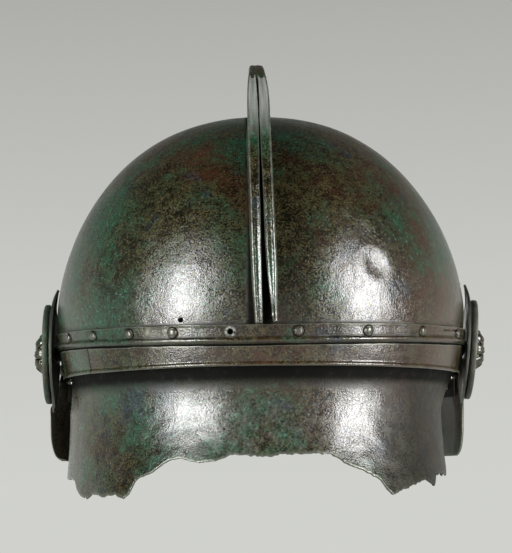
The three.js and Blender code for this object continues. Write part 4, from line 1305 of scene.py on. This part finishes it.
def plaque_matrix(name, side):
    """The place of a plaque: its own +X points outwards from the back of its backing."""
    turn = math.acos(PLAQUE_STATION / (skin_radius(PLAQUE_LEVEL) * LENGTH_RATIO))
    lean = math.radians(PLAQUE_LEAN[name])
    standoff = COLLAR_GAP + COLLAR_LENGTH[name] + SEAT_GAP
    outward = Vector((math.cos(lean), 0, -math.sin(lean)))
    seat = skin(math.degrees(turn), PLAQUE_LEVEL) + outward * standoff
    placed = Matrix.Translation(seat) @ Matrix.Rotation(lean, 4, "Y")
    return Matrix.Scale(side, 4, (1, 0, 0)) @ placed


def backing_place(across, along):
    """Outer face of the lobed backing, whose tip bows back."""
    height = mix(-BACKING_BOTTOM, BACKING_TOP, along)
    bow = BACKING_BOW * rising(height, BACKING_BOW_START, BACKING_TOP) ** 2
    reach = mix(-1, 1, across)
    width = max(0.3, BACKING_HALF_WIDTH * read_shares(BACKING, along))
    return Vector((BACKING_WALL - bow - 0.5 * abs(reach) ** 6, reach * width, height))


def rim_wear(across, along):
    """Rubbed along all four rims of a sheet."""
    return falling(min(across, 1 - across, along, 1 - along), 0, 1 / 16)


def petal_place(across, along, phase):
    """A petal that arches from the heart down to the disc, with a crease along its middle."""
    side = mix(-1, 1, across)
    reach = mix(PETAL_START, ROSETTE_RADIUS + PETAL_OVERHANG, along)
    rise = ROSETTE_HEIGHT * read_shares(PETAL, along, 1)
    spread = side * PETAL_HALF_WIDTH * read_shares(PETAL, along, 2) * mix(0.45, 1, along)
    crease = PETAL_CREASE * math.exp(-(side / PETAL_CREASE_WIDTH) ** 2) * math.sin(math.pi * along)
    height = rise - PETAL_SIDE_DROP * side ** 4 - crease
    height += uneven("petal_face", (reach, spread, phase))
    return Vector((reach + uneven("petal_end", (phase, along * 4, 0)), spread,
                   ROSETTE_FOOT + max(0.15, height)))


def rosette():
    """A boss of arched petals with open gaps between them."""
    bm = started()
    for index in range(PETALS):
        petal = sheet(12, 18, lambda across, along: petal_place(across, along, index * 7.3),
                      wear=rim_wear)
        facing(petal, lambda middle: Vector((0, 0, 1)))
        moved(petal, Matrix.Rotation(2 * math.pi * index / PETALS, 4, "Z"))
        into(bm, petal)
    return bm


def lumps(bm):
    """Adds the lumps between the petals' feet."""
    for index in range(PETALS):
        turn = 2 * math.pi * (index + 0.5) / PETALS
        lump = started()
        bmesh.ops.create_icosphere(lump, subdivisions=3, radius=LUMP_RADIUS)
        for vert in lump.verts:
            vert.co *= 0.95 + 0.2 * rough(vert.co * 2, 1.4, index * 3.1)
        across, up = LUMP_PLACE * math.cos(turn), LUMP_PLACE * math.sin(turn)
        moved(lump, Matrix.Translation((across, up, ROSETTE_FOOT + LUMP_RADIUS)))
        into(bm, lump)
    return bm


def plaque_pin(low):
    """The pin that holds a plaque, with its domed head, and the lumps between the petals."""
    top = ROSETTE_FOOT + ROSETTE_HEIGHT
    profile = [(radius, top + height) for radius, height in PIN_HEAD]
    profile += [(radius, low + height) for radius, height in PIN_FOOT]
    return lumps(turned(profile, 28, wear=lambda share: 1.0 - share * 2.6))


def plaque_collar(length):
    """The collar that keeps a plaque off the bowl."""
    front, back = -SEAT_GAP, -SEAT_GAP - length
    return turned([
        (COLLAR_BORE, front), (COLLAR_FACE, front), (COLLAR_RADIUS, front - COLLAR_EDGE),
        (COLLAR_RADIUS, back + COLLAR_EDGE), (COLLAR_FACE, back), (COLLAR_BORE, back),
        (COLLAR_BORE, front)], 32)


class HELMET_OT_plaques(bpy.types.Operator):
    """Pins a backing, a dished disc and an open rosette to each side"""

    bl_idname = "helmet.plaques"
    bl_label = "Plaques"

    def add_backing(self, name, side, placed):
        backing = sheet(30, 70, backing_place, wear=rim_wear, dull=lambda across, along: 0.7)
        moved(backing, placed)
        facing(backing, lambda middle: Vector((side, 0, 0)))
        # A thin dust, and on the right side a painted light
        paint(backing, "chalk", lambda point: DUST_AND_LIGHT[name] * (0.6 + uneven("backing_dust_and_light", point)))
        piece(f"backing_{name}", backing, "dark_bronze", "helmet", [f"plaque_backing_{name}"],
              wall=BACKING_WALL, rim=0.3, inside=INNER_FINISH_BY_LIGHT[name])

    def add_disc(self, name, placed):
        section = [(radius * DISC_RADIUS, DISC_BACK + depth * DISC_DEPTH)
                   for radius, depth in [*DISC, DISC[0]]]
        disc = turned(section, DISC_STEPS, wear=lambda share: 1 - abs(share - 0.61) * 9)
        paint(disc, "grime", lambda point: 0.1 + uneven("disc_dirt", point))
        paint(disc, "dull", lambda point: 0.9)
        # A thin dust, and on the right side a painted light
        paint(disc, "chalk", lambda point: DUST_AND_LIGHT[name] * (0.6 + uneven("disc_dust_and_light", point)))
        moved(disc, placed)
        piece(f"disc_{name}", closed(disc), "green_bronze", "helmet", [f"plaque_disc_{name}"])

    def add_rosette(self, name, side, placed):
        flower = moved(rosette(), placed)
        if side < 0:
            bmesh.ops.reverse_faces(flower, faces=flower.faces)
        piece(f"rosette_{name}_petals", flower, "brown_bronze", "helmet", [f"rosette_{name}"],
              wall=PETAL_SHEET, rim=0.12)

    def add_fixings(self, name, placed):
        inner = min(abs(corner[0]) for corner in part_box(f"plaque_pin_{name}")) / MM
        reach = (abs(placed.translation.x) - inner) / math.cos(math.radians(PLAQUE_LEAN[name]))
        pin = moved(plaque_pin(-reach - 0.2), placed)
        piece(f"plaque_pin_{name}_head", closed(pin), "worn_bronze", "helmet",
              [f"plaque_pin_{name}"])
        collar = moved(plaque_collar(COLLAR_LENGTH[name]), placed)
        # Painted shade: the collar is darkened all over
        paint(collar, "grime", lambda point: 0.9)
        piece(f"collar_{name}", closed(collar), "dark_bronze", "helmet",
              [f"plaque_collar_{name}"])

    def execute(self, context):
        for name, side in SIDES:
            placed = plaque_matrix(name, side)
            outward = placed @ OUTWARD_X
            self.add_backing(name, side, placed)
            self.add_disc(name, outward)
            self.add_rosette(name, side, outward)
            self.add_fixings(name, outward)
        return {"FINISHED"}


# --- Hinges and cheek pieces ---

LEAF_SLOPE = (skin_radius(HINGE_CENTRE[2] + UPPER_LEAF) - skin_radius(HINGE_CENTRE[2])) / UPPER_LEAF
MIDDLE_KNUCKLE = HINGE_LENGTH / 2 - SEAT_GAP
END_KNUCKLE = HINGE_LENGTH / 4 - SEAT_GAP / 2
LEAF_START = BARREL_RADIUS + SEAT_GAP


def hinge_matrix(side):
    """The place of a hinge: +X points outwards, +Y along the pin to the rear, +Z up."""
    placed = Matrix.Translation(HINGE_CENTRE) @ Matrix.Rotation(-HINGE_YAW, 4, "Z")
    return Matrix.Scale(side, 4, (1, 0, 0)) @ placed


def knuckle(length, middle):
    """A short barrel along +Y with softened ends."""
    half = length / 2
    edge = BARREL_RADIUS - BARREL_EDGE
    part = turned([
        (BARREL_BORE, -half), (edge, -half), (BARREL_RADIUS, -half + BARREL_EDGE),
        (BARREL_RADIUS, half - BARREL_EDGE), (edge, half), (BARREL_BORE, half),
        (BARREL_BORE, -half)], 28, wear=lambda share: 0.5)
    return moved(part, Matrix.Translation((0, middle, 0)) @ FACING_Y)


def leaf(low, high, slope, length, middle):
    """A plate of the leaf between two heights, leaning by a slope."""
    part = started()
    worn = part.verts.layers.float["wear"]
    bmesh.ops.create_cube(part, size=1.0)
    bmesh.ops.scale(part, vec=(LEAF_WALL, length, high - low), verts=part.verts)
    bmesh.ops.bevel(part, geom=part.edges[:], offset=0.2, affect="EDGES", segments=2,
                    profile=0.5, material=-1)
    for vert in part.verts:
        vert[worn] = 0.35
        height = vert.co.z + (low + high) / 2
        out = vert.co.x - BARREL_RADIUS + LEAF_WALL / 2 + abs(height) * slope
        vert.co = Vector((out, vert.co.y + middle, height))
    return part


def leaf_grime(point):
    """Painted shade on the upper leaf's rear end and behind it."""
    return 1 if point.y > HINGE_LENGTH / 2 - 0.6 or point.x < -BARREL_RADIUS else 0


def cheek_place(along, across, swell):
    """Outer face of the cheek piece, down from the hinge and from its front edge to its flange."""
    front, rear, bulge, flange = (read_shares(CHEEK, along, column) for column in (1, 2, 3, 4))
    station = mix(front, rear, across) * CHEEK_WIDTH
    from_rear = rear * CHEEK_WIDTH - station
    turned_out = FLANGE_REACH * flange * limit(1 - from_rear / FLANGE_WIDTH) ** 1.5
    down = along * CHEEK_HEIGHT
    below = rising(down, LOWER_LEAF, 2 * LOWER_LEAF)
    rounding = below * from_rear ** 2 / (2 * CHEEK_ROUNDING)
    inner = -BARREL_RADIUS + LEAF_WALL + SEAT_GAP
    out = swell * (bulge * CHEEK_CURVE + turned_out - swell * rounding)
    out += below * uneven("cheek_face", (station, down, 0))
    return Vector((inner + CHEEK_WALL + out, station, -BARREL_RADIUS - 2 * SEAT_GAP - down))


class HELMET_OT_hinges(bpy.types.Operator):
    """Makes the hinge leaves, their pins and their rivets"""

    bl_idname = "helmet.hinges"
    bl_label = "Hinges"

    def add_leaves(self, name, placed):
        upper = leaf(LEAF_START, UPPER_LEAF, LEAF_SLOPE, HINGE_LENGTH, 0)
        for end in (1, -1):
            middle = end * (HINGE_LENGTH - END_KNUCKLE) / 2
            into(upper, leaf(0, LEAF_START + LEAF_WALL, LEAF_SLOPE, END_KNUCKLE, middle))
            into(upper, knuckle(END_KNUCKLE, middle))
        paint(upper, "grime", leaf_grime)
        moved(upper, placed)
        piece(f"leaf_upper_{name}", closed(upper), "brown_bronze", "helmet",
              [f"hinge_leaf_upper_{name}"])

        lower = leaf(-LOWER_LEAF, -LEAF_START, 0, HINGE_LENGTH, 0)
        into(lower, leaf(-LEAF_START - LEAF_WALL, 0, 0, MIDDLE_KNUCKLE, 0))
        into(lower, knuckle(MIDDLE_KNUCKLE, 0))
        # Painted shade: the lower leaf is darkened almost to black
        paint(lower, "grime", lambda point: 0.95)
        moved(lower, placed)
        piece(f"leaf_lower_{name}", closed(lower), "brown_bronze", f"cheek_{name}",
              [f"hinge_leaf_lower_{name}"])

    def add_pin(self, name, placed):
        end = HINGE_LENGTH / 2 + SEAT_GAP
        half = [(radius, end + height) for radius, height in KNOB]
        pin = turned([(radius, -height) for radius, height in reversed(half)] + half, 24,
                     wear=lambda share: 0.8)
        # Painted shade: the pin and its knobs are darkened by half
        paint(pin, "grime", lambda point: 0.5)
        moved(pin, placed @ FACING_Y)
        piece(f"pin_{name}", closed(pin), "worn_bronze", "helmet", [f"hinge_pin_{name}"])

    def add_rivets(self, name, placed, dome):
        lean = math.atan(LEAF_SLOPE)
        for group, direction, body in (
                ("hinge_rivet_upper", Vector((math.cos(lean), 0, -math.sin(lean))), "helmet"),
                ("cheek_rivet", Vector((1, 0, 0)), f"cheek_{name}")):
            bm = started()
            nodes = [f"{group}_{name}_{index}" for index in (1, 2)]
            for node in nodes:
                rivet(bm, node, (placed.to_3x3() @ direction).normalized(), dome)
            piece(f"{group}s_{name}", bm, "worn_bronze", body, nodes)

    def execute(self, context):
        for name, side in SIDES:
            placed = hinge_matrix(side)
            self.add_leaves(name, placed)
            self.add_pin(name, placed)
            self.add_rivets(name, placed, context.scene.helmet_shape.rivet_dome / MM)
        return {"FINISHED"}


class HELMET_OT_cheek_pieces(bpy.types.Operator):
    """Shapes the scalloped cheek pieces with their rear flanges"""

    bl_idname = "helmet.cheek_pieces"
    bl_label = "Cheek Pieces"

    def execute(self, context):
        for name, side in SIDES:
            # The cheek piece's top, under the hinge, is darkened with painted shade
            bm = sheet(110, 60, lambda down, across: cheek_place(down, across, CHEEK_SWELL[name]),
                       wear=rim_wear, grime=lambda down, across: falling(down, 0.06, 0.16),
                       dull=lambda down, across: 0.7)
            moved(bm, hinge_matrix(side))
            facing(bm, lambda middle: Vector((side, 0, 0)))
            piece(f"cheek_piece_{name}", bm, "dark_bronze", f"cheek_{name}",
                  [f"cheek_plate_{name}"], wall=CHEEK_WALL, rim=0.3, inside=INNER_FINISH_BY_LIGHT[name])
        return {"FINISHED"}


# --- Stage ---

def soft_lamp(name, turn, rise, distance, width, height, power):
    """A soft box aimed at the bowl. Its turn is measured from behind the helmet to its left."""
    light = bpy.data.lights.new(name, "AREA")
    light.shape = "RECTANGLE"
    light.size, light.size_y = width, height
    light.energy = power
    lamp = bpy.data.objects.new(name, light)
    bpy.context.scene.collection.objects.link(lamp)
    turn, rise = math.radians(turn), math.radians(rise)
    level = math.cos(rise)
    away = Vector((math.sin(turn) * level, math.cos(turn) * level, math.sin(rise)))
    lamp.location = Vector(LAMP_AIM) + away * distance
    lamp.rotation_euler = away.to_track_quat("Z", "Y").to_euler()
    lamp.visible_camera = False


def surround(colour):
    """A plain grey surround, the floor's colour at the horizon and dark overhead."""
    world = bpy.context.scene.world or bpy.data.worlds.new("Surround")
    bpy.context.scene.world = world
    world.use_nodes = True
    world.node_tree.nodes.clear()
    made = Nodes(world.node_tree)
    direction = made.coordinates.outputs["Generated"]
    height = made.node("ShaderNodeSeparateXYZ", {0: direction}).outputs["Z"]
    ramp = made.node("ShaderNodeValToRGB", {0: height})
    stops = ramp.color_ramp.elements
    for place, share in SKY:
        stop = stops[0] if place == 0 else stops[-1] if place == 1 else stops.new(place)
        stop.color = (*(value * share for value in colour), 1)
    ground = made.node("ShaderNodeBackground", {
        "Color": ramp.outputs[0], "Strength": made.light_level(direction)})
    made.node("ShaderNodeOutputWorld", {"Surface": ground.outputs[0]})


def floor_finish(colour):
    """A matt floor that turns into the backdrop's plain light away from the helmet."""
    made = Patina("pale_floor")
    made.shader.inputs["Base Color"].default_value = (*FLOOR_COLOUR, 1)
    made.shader.inputs["Roughness"].default_value = 0.9
    made.shader.inputs["Specular IOR Level"].default_value = 0.1
    reach = made.node("ShaderNodeVectorMath", {0: made.place}, operation="LENGTH").outputs["Value"]
    direction = made.node("ShaderNodeVectorMath", {0: made.place}, operation="NORMALIZE").outputs[0]
    glow = made.node("ShaderNodeEmission", {
        "Color": (*colour, 1), "Strength": made.light_level(direction)})
    share = made.between(reach, *GLOW_REACH, GLOW_NEAR, 1.0)
    both = made.node("ShaderNodeMixShader", {
        0: share, 1: made.shader.outputs[0], 2: glow.outputs[0]})
    surface = made.tree.nodes["Material Output"].inputs["Surface"]
    made.tree.links.new(both.outputs[0], surface)
    return made.material


class HELMET_OT_stage(bpy.types.Operator):
    """Sets up the floor, the surround, the soft lamps and the camera"""

    bl_idname = "helmet.stage"
    bl_label = "Stage"

    def execute(self, context):
        scene = context.scene
        finish = scene.helmet_finish
        bm = bmesh.new()
        bmesh.ops.create_circle(bm, cap_ends=True, segments=96, radius=FLOOR_REACH)
        bmesh.ops.translate(bm, vec=(0, 0, FLOOR_LEVEL), verts=bm.verts)
        mesh = bpy.data.meshes.new("floor")
        bm.to_mesh(mesh)
        bm.free()
        floor = bpy.data.objects.new("floor", mesh)
        scene.collection.objects.link(floor)
        mesh.materials.append(floor_finish(tuple(finish.backdrop)))
        surround(tuple(finish.backdrop))
        for name, (*placing, share) in LAMPS.items():
            soft_lamp(name, *placing, finish.lamp_power * share)

        lens = bpy.data.cameras.new("camera")
        lens.lens = CAMERA_LENS
        lens.clip_start, lens.clip_end = 0.05, 50
        camera = bpy.data.objects.new("camera", lens)
        scene.collection.objects.link(camera)
        back = Vector(CAMERA_PLACE) - Vector(CAMERA_AIM)
        roll = Matrix.Rotation(-CAMERA_ROLL, 3, "Z").to_quaternion()
        camera.location = CAMERA_PLACE
        camera.rotation_mode = "QUATERNION"
        camera.rotation_quaternion = back.to_track_quat("Z", "Y") @ roll
        scene.camera = camera
        scene.view_settings.view_transform = "Standard"
        return {"FINISHED"}


# --- Panel and running order ---

OPERATORS = (
    HELMET_OT_finishes, HELMET_OT_bowl, HELMET_OT_girdle, HELMET_OT_neck_guard,
    HELMET_OT_brow_plate, HELMET_OT_crest, HELMET_OT_rivets, HELMET_OT_plaques,
    HELMET_OT_hinges, HELMET_OT_cheek_pieces, HELMET_OT_stage,
)


class HELMET_PT_panel(bpy.types.Panel):
    """Lists the helmet's sizes, its colours and the steps that build it"""

    bl_idname = "HELMET_PT_panel"
    bl_label = "Helmet"
    bl_space_type = "VIEW_3D"
    bl_region_type = "UI"
    bl_category = "Helmet"

    def draw(self, context):
        scene = context.scene
        for group in (scene.helmet_shape, scene.helmet_finish):
            box = self.layout.box()
            for name in group.__annotations__:
                box.prop(group, name)
        for operator in OPERATORS:
            self.layout.operator(operator.bl_idname)


CLASSES = (HelmetShape, HelmetFinish, *OPERATORS, HELMET_PT_panel)


def register():
    for cls in CLASSES:
        bpy.utils.register_class(cls)
    bpy.types.Scene.helmet_shape = bpy.props.PointerProperty(type=HelmetShape)
    bpy.types.Scene.helmet_finish = bpy.props.PointerProperty(type=HelmetFinish)


def unregister():
    del bpy.types.Scene.helmet_finish
    del bpy.types.Scene.helmet_shape
    for cls in reversed(CLASSES):
        bpy.utils.unregister_class(cls)


def main():
    register()
    for operator in OPERATORS:
        group, name = operator.bl_idname.split(".")
        getattr(getattr(bpy.ops, group), name)()


if __name__ == "__main__":
    main()
